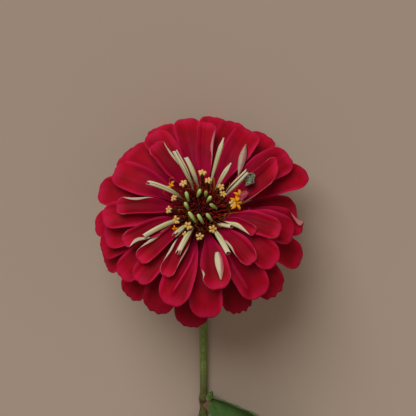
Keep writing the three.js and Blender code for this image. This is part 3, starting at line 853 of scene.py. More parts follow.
def closedFloretBodies():
    # Rods with a swelling top: the radius grows to seven tenths of the height and closes as a quarter
    # circle does, with five shallow furrows.
    places = np.array(closedFlorets)
    low, high = discShape["closedHeights"]
    middles = headPoint(places[:, 0], places[:, 1], (low + high) / 2)
    middles = middles + np.array([0, discShape["closedShift"], 0])
    lean = np.column_stack([places[:, 2:4], np.full(len(places), high - low)])
    feet = middles - lean / 2
    tips = middles + lean / 2
    axes = unit(tips - feet)
    length = np.linalg.norm(tips - feet, axis=-1)[:, None, None] + discShape["closedOver"]
    u = np.sin(np.linspace(0, np.pi / 2, 18))[None, 1:-1, None]
    turn = turns(discShape["closedSides"])
    radius = discShape["closedRadius"] * blend(0.55, 1.0, smoothStep(u, 0, 0.7))
    radius = radius * np.sqrt(clamp(1 - clamp((u - 0.72) / 0.28) ** 2))
    furrow = 1 - 0.06 * (0.5 + 0.5 * np.cos(5 * turn)) * smoothStep(u, 0.2, 0.8)
    reach = np.broadcast_to(radius * furrow, (len(places), u.shape[1], len(turn)))
    height = np.broadcast_to(u * length, reach.shape)
    rings = axisRings(feet, axes, reach, height)
    points, faceLists = closedTubes(rings, feet, feet + axes * length[:, 0])
    tone = places[:, 4:]
    fields = {
        "along": ringValues(u, reach.shape, 0.0, 1.0),
        "tone": ringValues(tone[:, :, None], reach.shape, tone, tone),
    }
    return points, faceLists, fields


tubeShape = {
    "shares": (0, 0.25, 0.5, 0.72, 0.88, 0.97, 1.0, 0.99),  # of the tube's length, where its radii are
    "radii": (0.22, 0.26, 0.3, 0.36, 0.42, 0.42, 0.3, 0.12),  # as shares of the floret's size
    "sides": 20,
    "ribDepth": 0.1,
}
lobeShapes = {
    # shares of the floret's size: where a lobe starts, bends and ends, as reach and height over the throat,
    # and its half thickness at the start, middle and end
    "star": {"line": [(0.18, -0.1), (0.75, 0.8), (0.9, -0.35)], "radii": [0.2, 0.37, 0.28], "steps": 9},
    "orange": {"line": [(0.12, -0.1), (0.5, 0.42), (0.95, 0.02)], "radii": [0.12, 0.19, 0.08], "steps": 11},
}
lobeCount = 5
lobeSides = 9
lobeVary = {"turn": 0.16, "size": 0.12, "knobs": 0.12}
tubeAlong = 0.32  # the field "along" at the throat, and at both ends of a lobe
lobeAlong = (0.42, 0.92)


def curvedLines(first, middle, last, steps):
    # bends from first to last that lean towards middle: squares of the shares left and gone, and twice their
    # product
    gone = np.linspace(0, 1, steps)[:, None]
    left = 1 - gone
    first, middle, last = (np.asarray(points)[:, None] for points in (first, middle, last))
    return left * left * first + 2 * left * gone * middle + gone * gone * last


def floretStand(places):
    # where each open floret's tube starts, its direction and its length
    footReach, footHeight = discShape["openFoot"]
    feet = headPoint(places[:, 0], np.minimum(footReach, places[:, 1] * 0.6), footHeight)
    tips = headPoint(places[:, 0], places[:, 1], places[:, 2])
    return feet, unit(tips - feet), np.linalg.norm(tips - feet, axis=-1)


def floretTubes(places, sizes, draw):
    # a tube from the foot to the throat that widens as it goes up, ribbed five times round, with a low dome
    feet, axes, length = floretStand(places)
    share = np.array(tubeShape["shares"])[None, :, None]
    reach = np.array(tubeShape["radii"])[None, :, None] * sizes[:, None, None]
    ribs = np.cos(5 * turns(tubeShape["sides"]) + places[:, :1])
    reach = reach * (1 + tubeShape["ribDepth"] * ribs[:, None, :])
    height = np.broadcast_to(share * length[:, None, None], reach.shape)
    rings = axisRings(feet, axes, reach, height)
    points, faceLists = closedTubes(rings, feet - axes * 0.2, feet + axes * (length + 0.05)[:, None])
    tone = draw.uniform(0, 1, (len(places), 1))
    fields = {
        "along": ringValues(share * tubeAlong, reach.shape, 0.0, tubeAlong),
        "tone": ringValues(tone[:, :, None], reach.shape, tone, tone),
    }
    return points, faceLists, fields


def floretLobes(places, sizes, form, draw):
    # Five lobes round each throat, 72 degrees apart, each a round rod along a bend that goes out, up and
    # over.
    feet, axes, length = floretStand(places)
    throats = feet + axes * length[:, None]
    sidewards = unit(np.cross(axes, offAxis))
    count = len(places)
    turn = draw.uniform(0, 2 * np.pi, (count, 1)) + turns(lobeCount)
    turn = turn + lobeVary["turn"] * draw.uniform(-1, 1, (count, lobeCount))
    spokes = circleOf(sidewards, np.cross(axes, sidewards), turn)
    scale = 1 + lobeVary["size"] * draw.uniform(-1, 1, (count, lobeCount))
    scale = (sizes[:, None] * scale)[..., None]
    corners = [
        (throats[:, None] + (spokes * reach + axes[:, None] * height) * scale).reshape(-1, 3)
        for reach, height in form["line"]
    ]
    paths = curvedLines(*corners, form["steps"])
    gone = np.linspace(0, 1, form["steps"])
    thick = np.interp(gone, [0, 0.6, 1], form["radii"]) * np.sqrt(clamp(1.08 - gone**6))
    radii = scale.reshape(-1, 1) * thick
    knobs = 1 + lobeVary["knobs"] * draw.uniform(-1, 1, (count * lobeCount, form["steps"], lobeSides))
    across = np.repeat(axes, lobeCount, 0)[:, None]
    rings = tubeRings(paths, radii[..., None] * knobs, across, lobeSides)
    points, faceLists = closedTubes(rings, paths[:, 0], paths[:, -1])
    tone = np.repeat(draw.uniform(0, 1, (count, 1)), lobeCount, 0)
    shape = rings.shape[:3]
    along = blend(*lobeAlong, gone)
    fields = {
        "along": ringValues(along[None, :, None], shape, *lobeAlong),
        "tone": ringValues(tone[:, :, None], shape, tone, tone),
    }
    return points, faceLists, fields


discDraw = np.random.default_rng(5)
chaff = joinedBodies([receptacleBody(), chaffBodies(discDraw)])
makePiece("disc_chaff", inHead(chaff), chaffFinish(), ["disc"])
makePiece("disc_closed_florets", inHead(closedFloretBodies()), closedFinish())

yellow = np.array(openFlorets, float)
yellowSizes = yellow[:, 3] * discShape["openSize"]
stars = joinedBodies([
    floretTubes(yellow[:, :3], yellowSizes, discDraw),
    floretLobes(yellow[:, :3], yellowSizes, lobeShapes["star"], discDraw),
])
starFinish = floretFinish("disc_star", discLooks["starTop"], discLooks["starShade"], discLooks["starSpots"])
makePiece("disc_open_florets", inHead(stars), starFinish)

orange = np.array(orangeFlorets, float)
flames = joinedBodies([
    floretTubes(orange[:, :3], orange[:, 3] * discShape["orangeTube"], discDraw),
    floretLobes(orange[:, :3], orange[:, 3], lobeShapes["orange"], discDraw),
])
orangeColours = (discLooks["orangeTop"], discLooks["orangeShade"], discLooks["starSpots"])
makePiece("disc_orange_florets", inHead(flames), floretFinish("disc_orange", *orangeColours))

# Styles and dry threads: start, middle and end, each as clock angle, reach and height, and the radius.
threads = [
    ((42, 6.0, 1.5), (33, 8.0, 4.6), (22, 10.2, 4.4), 0.13),
    ((40, 6.2, 1.5), (28, 7.4, 3.6), (24, 9.6, 5.0), 0.1),
    ((118, 8.0, 2.4), (112, 10.5, 4.6), (105, 13.2, 4.0), 0.12),
    ((104, 15.2, 4.4), (98, 17.4, 6.6), (100, 16.4, 7.4), 0.07),
    ((284, 13.0, 2.6), (282, 14.8, 4.2), (287, 14.6, 5.0), 0.12),
    ((302, 13.6, 3.0), (305, 15.6, 5.2), (310, 13.6, 6.0), 0.14),
    ((128, 8.2, 1.6), (124, 9.6, 4.0), (117, 9.0, 4.6), 0.14),
    ((250, 8.6, 1.8), (246, 9.6, 3.8), (252, 8.8, 4.4), 0.12),
    ((232, 8.0, 1.6), (228, 8.8, 3.8), (236, 8.4, 4.2), 0.11),
    ((330, 8.6, 2.0), (326, 9.8, 4.0), (333, 10.6, 4.2), 0.12),
    ((55, 9.8, 2.0), (58, 11.4, 4.2), (52, 12.0, 4.6), 0.12),
    ((146, 9.0, 1.6), (150, 10.4, 3.8), (142, 11.0, 3.6), 0.11),
    ((197, 7.4, 1.2), (200, 8.6, 3.2), (192, 9.0, 3.2), 0.1),
    ((88, 9.0, 2.0), (84, 10.4, 4.4), (90, 10.2, 5.2), 0.13),
]
threadShape = {
    "fuzz": 110,
    "fuzzReach": (5.2, 9.6),
    "fuzzHeight": (1.6, -1.2),  # at the least and at the greatest reach
    "fuzzLength": (1.4, 3.6),
    "fuzzRadius": 0.075,
    "fuzzAside": 20,
    "steps": 14,
    "sides": 7,
    "low": "#64160a",
    "top": "#c2701c",
}


def fuzzLines(draw):
    # loose threads that leave the disc at random places: up to a middle point, then on outwards and aside
    count = threadShape["fuzz"]
    clock, reach, length, tall, aside = draw.uniform(0, 1, (5, count))
    clock = 360 * clock
    height = blend(*threadShape["fuzzHeight"], reach)
    reach = blend(*threadShape["fuzzReach"], reach)
    length = blend(*threadShape["fuzzLength"], length)
    aside = threadShape["fuzzAside"] * (aside - 0.5)
    first = headPoint(clock, reach, height)
    middle = headPoint(clock + aside, reach + 0.1 * length, height + length)
    last = headPoint(clock + 2 * aside, reach + 0.6 * length, height + length * blend(0.7, 1.3, tall))
    return first, middle, last, np.full(count, threadShape["fuzzRadius"])


def threadBodies(draw):
    # thin round rods along bends, finest at their ends
    named = np.array([[headPoint(*corner) for corner in thread[:3]] for thread in threads])
    loose = fuzzLines(draw)
    first, middle, last = (np.concatenate([named[:, k], loose[k]]) for k in range(3))
    thickness = np.concatenate([[thread[3] for thread in threads], loose[3]])[:, None]
    steps = threadShape["steps"]
    paths = curvedLines(first, middle, last, steps)
    radii = thickness * np.linspace(1.0, 0.55, steps)[None]
    rings = tubeRings(paths, radii, (0.2, 0.3, 0.9), threadShape["sides"])
    points, faceLists = closedTubes(rings, paths[:, 0], paths[:, -1])
    tone = draw.uniform(0, 1, (len(paths), 1))
    tone[: len(threads)] = 1
    shape = rings.shape[:3]
    fields = {
        "along": ringValues(np.linspace(0, 1, steps)[None, :, None], shape, 0.0, 1.0),
        "tone": ringValues(tone[:, :, None], shape, tone, tone),
    }
    return points, faceLists, fields


def threadFinish():
    finish = Finish("disc_thread")
    along = finish.field("along")
    tone = finish.field("tone")
    grain = finish.noise(finish.place(), 1500.0, 2.0)
    share = finish.rise(along * 0.5 + grain * 0.3 + tone * 0.6, 0.55, 1.25)
    base = finish.mix(share, threadShape["low"], threadShape["top"])
    return finish.shade(base, finish.rough(grain, 0.5, 0.8), 0.2)


threadDraw = np.random.default_rng(17)
makePiece("disc_threads", inHead(threadBodies(threadDraw)), threadFinish())

# Small loose blades: a withered floret in two lobes, a pink stub, a folded tongue and edge, and a torn flap.
# foot and tip are clock angle, reach and height, turn how far the blade is rolled about its length, point how
# much narrower it ends, and blunt how round its ends are.
scraps = [
    {"name": "withered_near", "foot": (66, 16.6, 4.0), "tip": (69, 19.4, 6.4), "half": 1.45, "turn": 20,
     "cup": 60, "crumple": 0.18, "look": "withered", "point": 0.0, "blunt": 1.0},
    {"name": "withered_far", "foot": (62, 17.2, 4.4), "tip": (61, 20.6, 7.2), "half": 1.6, "turn": -30,
     "cup": 80, "crumple": 0.2, "look": "withered", "point": 0.0, "blunt": 1.0},
    {"name": "pink_stub", "foot": (86, 13.6, 3.6), "tip": (77.5, 16.4, 5.6), "half": 1.3, "turn": 20,
     "cup": 100, "crumple": 0.2, "look": "pink", "point": 0.0, "blunt": 1.0},
    {"name": "pale_tongue", "foot": (163.8, 19.0, 4.9), "tip": (167.2, 28.9, 4.8), "half": 1.75, "turn": 10,
     "cup": -70, "crumple": 0.12, "look": "tongue", "point": 0.65, "blunt": 0.85},
    {"name": "folded_edge", "foot": (48.6, 16.9, 0.2), "tip": (32.9, 28.6, -2.4), "half": 1.3, "turn": 0,
     "cup": -60, "crumple": 0.05, "look": "edge", "point": 0.0, "blunt": 0.0},
    {"name": "torn_flap", "foot": (218, 12.0, 1.4), "tip": (222, 15.4, 2.6), "half": 1.7, "turn": 10,
     "cup": 40, "crumple": 0.3, "look": "pink", "point": 0.2, "blunt": 1.0},
]
scrapLooks = {
    # light and dark colour, how much of the dark is in spots and how much along one margin, on which side
    "withered": ("#8e917a", "#383a2e", 1.0, 0.3, 1),
    "pink": ("#b6525c", "#7c2830", 0.7, 0.5, 1),
    "tongue": ("#d6d0ae", "#c06870", 0.15, 0.9, -1),
    "edge": ("#bda491", "#9a5c58", 0.4, 0.7, 1),
}


def scrapSurface(scrap, draw):
    # A straight blade from foot to tip whose width lies between a half sine and its root, turned about its
    # length, arched across by cup and crumpled by three crossed waves.
    foot, tip = headPoint(*scrap["foot"]), headPoint(*scrap["tip"])
    axis = unit(tip - foot)
    length = np.linalg.norm(tip - foot)
    sideways = unit(np.cross(axis, [0.0, 0.0, 1.0]))
    over = np.cross(sideways, axis)
    turn = np.radians(scrap["turn"])
    across = sideways * np.cos(turn) + over * np.sin(turn)
    over = over * np.cos(turn) - sideways * np.sin(turn)
    u = np.linspace(0, 1, 20)[:, None]
    v = np.linspace(-1, 1, 15)[None]
    sharp = np.sin(np.pi * u)
    rounded = np.sqrt(np.sin(np.pi * clamp(0.1 + 0.82 * u)))
    width = scrap["half"] * (0.03 + 0.97 * blend(sharp, rounded, scrap["blunt"]))
    width = width * (1 - scrap["point"] * u * u)
    angle = np.radians(scrap["cup"]) * v
    phase = draw.uniform(0, 6, 3)
    waves = np.sin(5 * u + 3 * v + phase[0]) + 0.6 * np.sin(11 * u - 4 * v + phase[1])
    lift = scrap["crumple"] * (waves + 0.5 * np.sin(9 * v + phase[2]) * u)
    bulge = width * (1 - np.cos(angle)) / max(abs(np.radians(scrap["cup"])), 0.1) * np.sign(scrap["cup"])
    middle = foot + axis * (u * length)[..., None] + across * (width * v)[..., None]
    middle = middle + over * (lift + bulge + 0.12 * length * np.sin(np.pi * u))[..., None]
    middle = middle[None]
    thickness = np.broadcast_to(0.24 - 0.12 * v**4, middle.shape[:3])
    return middle, thickness, u, v


def scrapFinish(look):
    # spots and fine lines of the dark colour, and a stripe of it along the margin on one side
    light, dark, spotShare, marginShare, side = scrapLooks[look]
    finish = Finish("scrap_" + look)
    along = finish.field("along")
    across = finish.field("across")
    spots = finish.noise(finish.place(), 1300.0, 3.0)
    lines = finish.noise(finish.point(across * 6, along * 1.2, 0.7), 1.0, 2.0)
    base = finish.mix(finish.rise(spots, 0.52, 0.62) * spotShare, light, dark)
    base = finish.mix(finish.rise(lines, 0.5, 0.7) * 0.4 * spotShare, base, dark)
    base = finish.mix(finish.rise(lines * 0.6 + across * side, 0.1, 0.6) * marginShare, base, dark)
    relief = finish.bump(spots * 0.5 + lines * 0.5, 0.1)
    return finish.shade(base, finish.rough(spots, 0.6, 0.85), 0.2, relief)


scrapDraw = np.random.default_rng(3)
scrapMaterials = {look: scrapFinish(look) for look in scrapLooks}
for scrap in scraps:
    middle, thickness, along, across = scrapSurface(scrap, scrapDraw)
    points, faceLists = closedSheets(middle, sheetNormals(middle), thickness)
    shape = thickness.shape
    fields = {"along": bothSkins(along, shape), "across": bothSkins(across, shape)}
    body = inHead((points, faceLists, fields))
    makePiece("bit_" + scrap["name"], body, scrapMaterials[scrap["look"]])


print("bracts")

bractShape = {
    "cup": [
        [2.7, -24.4], [6.6, -23.3], [9.6, -19.4], [10.5, -15], [11.2, -12], [10.2, -12.2],
        [8.3, -13.2], [8, -17.4], [5.4, -21.2], [2.7, -22.4],
    ],
    "outerPoints": 5,  # how many of the cup's points are its outside, from the stem up
    "rows": [  # how many bracts, where they start and end up the cup's outside, half width, how far out
        (7, 0.02, 0.5, 3.1, 0.62), (10, 0.16, 0.68, 3.0, 0.5), (12, 0.34, 0.86, 2.9, 0.36),
        (13, 0.54, 1.03, 2.8, 0.22),
    ],
    "thickness": 0.32,
    "cupSides": 72,
    "green": "#5d7038",
    "light": "#8b9a58",
    "edge": "#2a1c12",
}


def bractFinish():
    # green with finer, lighter nerves, and a dark dry band round the tip
    finish = Finish("bracts")
    along = finish.field("along")
    across = finish.field("across")
    tone = finish.field("tone")
    nerve = finish.noise(finish.point(across * 9, along * 1.5, tone * 23), 1.0, 3.0)
    grain = finish.noise(finish.place(), 900.0, 3.0)
    base = finish.mix(finish.rise(nerve, 0.35, 0.7), bractShape["green"], bractShape["light"])
    rim = along * along * along + across * across * 0.35 + grain * 0.25
    base = finish.mix(finish.rise(rim, 0.72, 1.02), base, bractShape["edge"])
    relief = finish.bump(nerve * 0.7 + grain * 0.3, 0.1)
    return finish.shade(base, finish.rough(grain, 0.5, 0.75), 0.35, relief)


def bractBodies(draw):
    # Each bract lies on the cup's outside between two shares of its profile, and its width goes round the
    # axis. Its tip is drawn back from the sides by one less the root of one less the place across squared.
    # Tips stand further out than feet, so the rows overlap.
    outside = np.array(bractShape["cup"][: bractShape["outerPoints"]])
    curve = profileCurve(outside, 60)
    shares = np.linspace(0, 1, 60)
    bodies = []
    for count, start, end, half, proud in bractShape["rows"]:
        jitter = draw.uniform(-1, 1, (3, count, 1, 1))
        u = np.linspace(0, 1, 16)[None, :, None]
        spread = np.sin(np.linspace(-0.5, 0.5, 11) * np.pi)[None, None, :]
        rounded = 1 - 0.34 * (1 - np.sqrt(clamp(1 - spread * spread)))
        part = u * rounded
        at = blend(start, end + 0.02 * jitter[0], part)
        over = clamp(at - 1) * 14
        at = clamp(at)
        reach = np.interp(at, shares, curve[:, 0])
        height = np.interp(at, shares, curve[:, 1]) + over
        width = half * (1 + 0.08 * jitter[1]) * blend(0.7, 1.0, smoothStep(part, 0, 0.5))
        out = blend(0.1, proud, part) - 0.3 * spread * spread * (0.4 + part) + 0.1 * smoothStep(part, 0.8, 1)
        clock = 360 * (np.arange(count) + 0.5 * (count % 2))[:, None, None] / count + 3 * jitter[2]
        clock = clock + np.degrees(spread * width / reach)
        middle = headPoint(clock, reach + out, height)
        thickness = bractShape["thickness"] * (1 - 0.6 * spread**4) * (1 - 0.5 * part**4)
        shape = middle.shape[:3]
        points, faceLists = closedSheets(middle, sheetNormals(middle), np.broadcast_to(thickness, shape))
        values = {"along": part, "across": spread, "tone": draw.uniform(0, 1, (count, 1, 1))}
        bodies.append((points, faceLists, {name: bothSkins(value, shape) for name, value in values.items()}))
    return bodies


def cupBody():
    # the cup's closed profile carried round the axis, as a ring that comes back to where it starts
    profile = np.array(bractShape["cup"], float)
    turn = turns(bractShape["cupSides"])
    reach, height = profile[:, :1], profile[:, 1:]
    rings = np.stack(np.broadcast_arrays(reach * np.cos(turn), reach * np.sin(turn), height), -1)
    index = np.arange(rings[..., 0].size).reshape(rings.shape[:2])
    wrapped = np.concatenate([index, index[:1]], 0)
    wrapped = np.concatenate([wrapped, wrapped[:, :1]], 1)
    points = rings.reshape(-1, 3)
    fields = {name: np.full(len(points), 0.3) for name in ("along", "across", "tone")}
    return points, [quadsOf(wrapped)[:, ::-1]], fields


bractDraw = np.random.default_rng(23)
bracts = joinedBodies([cupBody(), *bractBodies(bractDraw)])
makePiece("bract_cup", inHead(bracts), bractFinish(), ["involucre"])


print("stem")

stemShape = {
    "radius": (2.0, 1.55, 1.35, 1.5),  # at the neck, after the bend, at the node, at the cut
    "neckHeight": -23.2,
    "nodeBehindDisc": 94.5,
    "cutBehindDisc": 134,
    "nodeSwelling": 0.5,
    "nodeSpread": 2.0,
    "steps": 260,
    "sides": 40,
    "ribs": 8,
    "ribDepth": 0.05,
    "cutRings": ((0.02, 0.93), (-0.12, 0.7), (-0.3, 0.35)),  # step along Y, and share of the radius
    "hairs": 900,
    "hairLength": 0.9,
    "hairRadius": 0.035,
    "hairSag": 0.35,  # how far a hair bends at random, and back along the stem
    "hairBack": 0.25,
    "green": "#84994a",
    "light": "#a9ba6c",
    "shadow": "#65783a",
    "aged": "#5e5a2c",
    "rust": "#46331e",
    "ochre": "#a08a48",
    "pith": "#c9cda0",
    "hair": "#c8cca8",
}
headCentre = np.array(head["discCentre"])
nodeHeight = stemShape["radius"][2] + stemShape["nodeSwelling"]
nodeCentre = headCentre * [1, 1, 0] + [0, stemShape["nodeBehindDisc"], nodeHeight]


def stemPath():
    # an arc from the neck down to the surface, then straight on past the node to the cut, in even steps
    neck = headToRow([0, 0, stemShape["neckHeight"]])
    dive = np.pi / 2 - np.radians(head["faceLean"])
    bend = (neck[2] - nodeCentre[2]) / (1 - np.cos(dive))
    arc = bend * dive
    flatFrom = neck[1] + bend * np.sin(dive)
    cut = headCentre[1] + stemShape["cutBehindDisc"]
    distance = np.linspace(0, arc + cut - flatFrom, stemShape["steps"])
    slope = dive * (1 - clamp(distance / arc))
    y = neck[1] + bend * (np.sin(dive) - np.sin(slope)) + np.maximum(distance - arc, 0)
    z = nodeCentre[2] + bend * (1 - np.cos(slope))
    x = np.full(len(y), nodeCentre[0])
    radius = np.interp(y, [neck[1], flatFrom, nodeCentre[1], cut], stemShape["radius"])
    swelling = stemShape["nodeSwelling"] * np.exp(-(((y - nodeCentre[1]) / stemShape["nodeSpread"]) ** 2))
    return np.stack([x, y, z], -1), radius, swelling


def stemFinish():
    # Streaks and specks of green, browner with age towards the node, with a ring at the node that is rusty on
    # top and ochre at its sides and below, and pale pith in the cut.
    finish = Finish("stem")
    along = finish.field("along")
    around = finish.field("around")
    cut = finish.field("cut")
    knot = finish.field("knot")
    streak = finish.noise(finish.point(around * 14, along * 6, 0.3), 1.0, 3.0)
    grain = finish.noise(finish.place(), 700.0, 3.0)
    base = finish.mix(finish.rise(streak, 0.35, 0.65), stemShape["shadow"], stemShape["green"])
    base = finish.mix(finish.rise(grain, 0.5, 0.75) * 0.6, base, stemShape["light"])
    base = finish.mix(finish.field("age") * finish.rise(grain, 0.2, 0.6, 0.6, 1.0), base, stemShape["aged"])
    base = finish.mix(knot * finish.rise(grain, 0.1, 0.6, 0.6, 1.0), base, stemShape["rust"])
    base = finish.mix(knot * finish.rise(around, 0.36, 0.5), base, stemShape["ochre"])
    base = finish.mix(cut, base, stemShape["pith"])
    relief = finish.bump(streak * 0.6 + grain * 0.4, 0.12)
    scatter = (0.08, (0.6, 1.0, 0.3), 0.6)
    return finish.shade(base, finish.rough(grain, 0.45, 0.7), 0.4, relief, scatter)


def stemBody():
    # a ribbed circle carried along the path, drawn in to a slightly hollow cut at the far end
    path, radius, swelling = stemPath()
    turn = turns(stemShape["sides"])
    ribs = 1 + stemShape["ribDepth"] * np.cos(stemShape["ribs"] * turn) / 1.5
    ring = (radius + swelling)[:, None] * ribs
    cutSteps, cutRadii = np.array(stemShape["cutRings"]).T
    tangent = unit(np.gradient(path, axis=0))
    tangent = np.concatenate([tangent, tangent[-1:].repeat(len(cutSteps), 0)])
    path = np.concatenate([path, path[-1] + cutSteps[:, None] * np.array([0, 1, 0])])
    ring = np.concatenate([ring, ring[-1] * cutRadii[:, None]])
    spoke = np.cross(tangent, [1.0, 0, 0])
    circle = circleOf(spoke, np.cross(spoke, tangent), turn)
    rings = (path[:, None] + circle * ring[..., None])[None]
    points, faceLists = closedTubes(rings, path[:1], path[-1:])
    distance = np.linspace(0, 1, len(path))[None, :, None]
    cut = np.zeros(len(path))
    cut[-len(cutSteps) :] = [0.2, 1, 1]
    knot = np.exp(-(((path[:, 1] - nodeCentre[1] - 0.6) / 1.1) ** 2))
    age = smoothStep(path[:, 1] - nodeCentre[1], -16, -1)
    shape = rings.shape[:3]
    fields = {
        "along": ringValues(distance * 8, shape, 0.0, 8.0),
        "around": ringValues(np.abs(turn / np.pi - 1), shape, 0.0, 0.0),
        "cut": ringValues(cut[None, :, None], shape, 0.0, 1.0),
        "knot": ringValues(knot[None, :, None], shape, 0.0, 0.0),
        "age": ringValues(age[None, :, None], shape, 0.0, 1.0),
    }
    return points, faceLists, fields


def hairBodies(draw):
    # thin three-sided spikes that leave the stem square to it and bend with the square of their length
    path, radius, swelling = stemPath()
    count = stemShape["hairs"]
    place = draw.uniform(2, len(path) - 3, count)
    step = place.astype(int)
    turn = draw.uniform(0, 2 * np.pi, count)
    tangent = unit(np.gradient(path, axis=0))[step]
    spoke = np.cross(tangent, [1.0, 0, 0])
    over = np.cross(spoke, tangent)
    outward = spoke * np.cos(turn)[:, None] + over * np.sin(turn)[:, None]
    foot = path[step] + tangent * ((place - step) * 0.6)[:, None]
    foot = foot + outward * ((radius + swelling)[step] - 0.05)[:, None]
    length = stemShape["hairLength"] * draw.uniform(0.5, 1.1, count)
    sag = unit(draw.normal(size=(count, 3))) * stemShape["hairSag"] - tangent * stemShape["hairBack"]
    u = np.linspace(0, 1, 4)[None, :, None]
    paths = foot[:, None] + outward[:, None] * (u * length[:, None, None])
    paths = paths + sag[:, None] * (u * u * length[:, None, None])
    paths[..., 2] = np.maximum(paths[..., 2], 0.05)
    radii = stemShape["hairRadius"] * (1 - 0.85 * u[..., 0]) * np.ones((count, 1))
    rings = tubeRings(paths, radii, (0.3, 0.2, 0.9), 3)
    points, faceLists = closedTubes(rings, paths[:, 0], paths[:, -1])
    return points, faceLists, {}


def hairFinish():
    finish = Finish("stem_hair")
    grain = finish.noise(finish.place(), 300.0)
    return finish.shade(finish.mix(grain, stemShape["hair"], stemShape["light"]), 0.5, 0.4)


stemDraw = np.random.default_rng(41)
makePiece("stem_rod", stemBody(), stemFinish(), ["stem"])
makePiece("stem_hairs", hairBodies(stemDraw), hairFinish())


budShape = {
    "foot": (-1.7, 0.5, 0.3),  # from the middle of the node
    "tip": (-3.3, -4.8, 4.2),
    "radii": (0.4, 0.85, 1.1, 0.95, 0.6, 0.12),
    "rows": 22,
    "sides": 20,
    "leaflets": 5,
    "leafletTurn": 2.4,  # radians from one leaflet to the next
    "leafletHalf": 1.3,
    "green": "#5f9038",
    "pale": "#a8ab84",
    "base": "#7c4c3c",
}


def budBodies(draw):
    # A pointed core, its radius read off a line through the radii, with leaflets wrapped round it: each
    # follows the core a little further out, and its width is a half sine of the length.
    foot = nodeCentre + np.array(budShape["foot"])
    tip = nodeCentre + np.array(budShape["tip"])
    axis = unit(tip - foot)
    length = np.linalg.norm(tip - foot)
    knots = np.linspace(0, 1, len(budShape["radii"]))
    shape = (1, budShape["rows"], budShape["sides"])
    u = np.linspace(0, 1, budShape["rows"])[None, :, None]
    reach = np.broadcast_to(np.interp(u, knots, budShape["radii"]), shape)
    rings = axisRings(foot[None], axis[None], reach, np.broadcast_to(u * length, shape))
    points, faceLists = closedTubes(rings, foot[None] - axis * 0.2, tip[None] + axis * 0.1)
    fields = {"along": ringValues(u, shape, 0.0, 1.0), "across": np.zeros(len(points))}
    count = budShape["leaflets"]
    jitter = draw.uniform(-1, 1, (2, count, 1, 1))
    turn = budShape["leafletTurn"] * np.arange(count)[:, None, None] + 0.3 * jitter[0]
    start = 0.12 * np.arange(count)[:, None, None] / count
    u = np.linspace(0, 1, 20)[None, :, None]
    v = np.linspace(-1, 1, 11)[None, None, :]
    at = start + u * (1.02 + 0.06 * jitter[1] - start)
    out = np.interp(clamp(at), knots, budShape["radii"]) + 0.1 + 0.22 * u * u + 0.12 * v * v
    angle = turn + v * budShape["leafletHalf"] * np.sin(np.pi * (0.12 + 0.88 * u)) / np.maximum(out, 0.4)
    sidewards = unit(np.cross(axis, offAxis))
    over = np.cross(sidewards, axis)
    middle = foot + axis * (at * length)[..., None]
    middle = middle + sidewards * (out * np.cos(angle))[..., None] + over * (out * np.sin(angle))[..., None]
    thickness = np.broadcast_to(0.2 - 0.1 * v**2, middle.shape[:3])
    sheets, sheetFaces = closedSheets(middle, sheetNormals(middle), thickness)
    shape = middle.shape[:3]
    sheetFields = {"along": bothSkins(u, shape), "across": bothSkins(v, shape)}
    return [(points, faceLists, fields), (sheets, sheetFaces, sheetFields)]


def budFinish():
    finish = Finish("bud")
    along = finish.field("along")
    across = finish.field("across")
    grain = finish.noise(finish.place(), 1200.0, 3.0)
    nerve = finish.noise(finish.point(across * 5, along * 1.2, 0.4), 1.0, 2.0)
    base = finish.mix(finish.rise(along + grain * 0.3, 0.1, 0.4), budShape["base"], budShape["pale"])
    base = finish.mix(finish.rise(along + nerve * 0.4, 0.4, 0.75), base, budShape["green"])
    relief = finish.bump(nerve * 0.6 + grain * 0.4, 0.1)
    scatter = (0.1, (0.6, 1.0, 0.3), 0.4)
    return finish.shade(base, finish.rough(grain, 0.45, 0.7), 0.35, relief, scatter)


makePiece("stem_bud", joinedBodies(budBodies(stemDraw)), budFinish())


print("leaves")

leafShape = {
    "rows": 90,
    "columns": 61,
    "thickness": 0.42,
    "tip": 0.3,
    "widestAt": 0.4,
    "gap": -0.2,  # between the stem and a leaf's foot
    "lie": 0.35,
    "ripple": 0.5,
    "longWave": 6.5,
    "shortWave": 3.7,
    "pucker": 0.22,
    "veinDepth": 0.3,
    "midribHalf": 0.55,
    "sideVein": 0.44,  # where a long side vein runs, as a share of the width
    "sideVeinHalf": 0.4,
    "branchStep": 5.2,
    "branchLean": 0.9,  # how far along the leaf a small vein runs for each millimetre out
    "branchHalf": 0.07,
    "green": "#3c5e22",
    "light": "#527a2e",
    "dark": "#264218",
    "vein": "#64834e",
    "back": "#74875c",
    "foot": "#7c5440",
}
# The midrib sets off at heading, counter-clockwise from +X, and swings by turn. base widens the leaf's foot,
# fold is how steeply each half slopes up, and shift moves the foot along the stem.
leaves = [
    {"name": "leaf_right", "side": -1, "heading": 162, "turn": -28, "length": 60, "half": 13, "base": 0.26,
     "fold": (62, 20), "arch": 3.2, "shift": -1.7},
    {"name": "leaf_left", "side": 1, "heading": 84, "turn": -42, "length": 52, "half": 11, "base": -0.02,
     "fold": (66, 14), "arch": 2.4, "shift": 3.6},
]


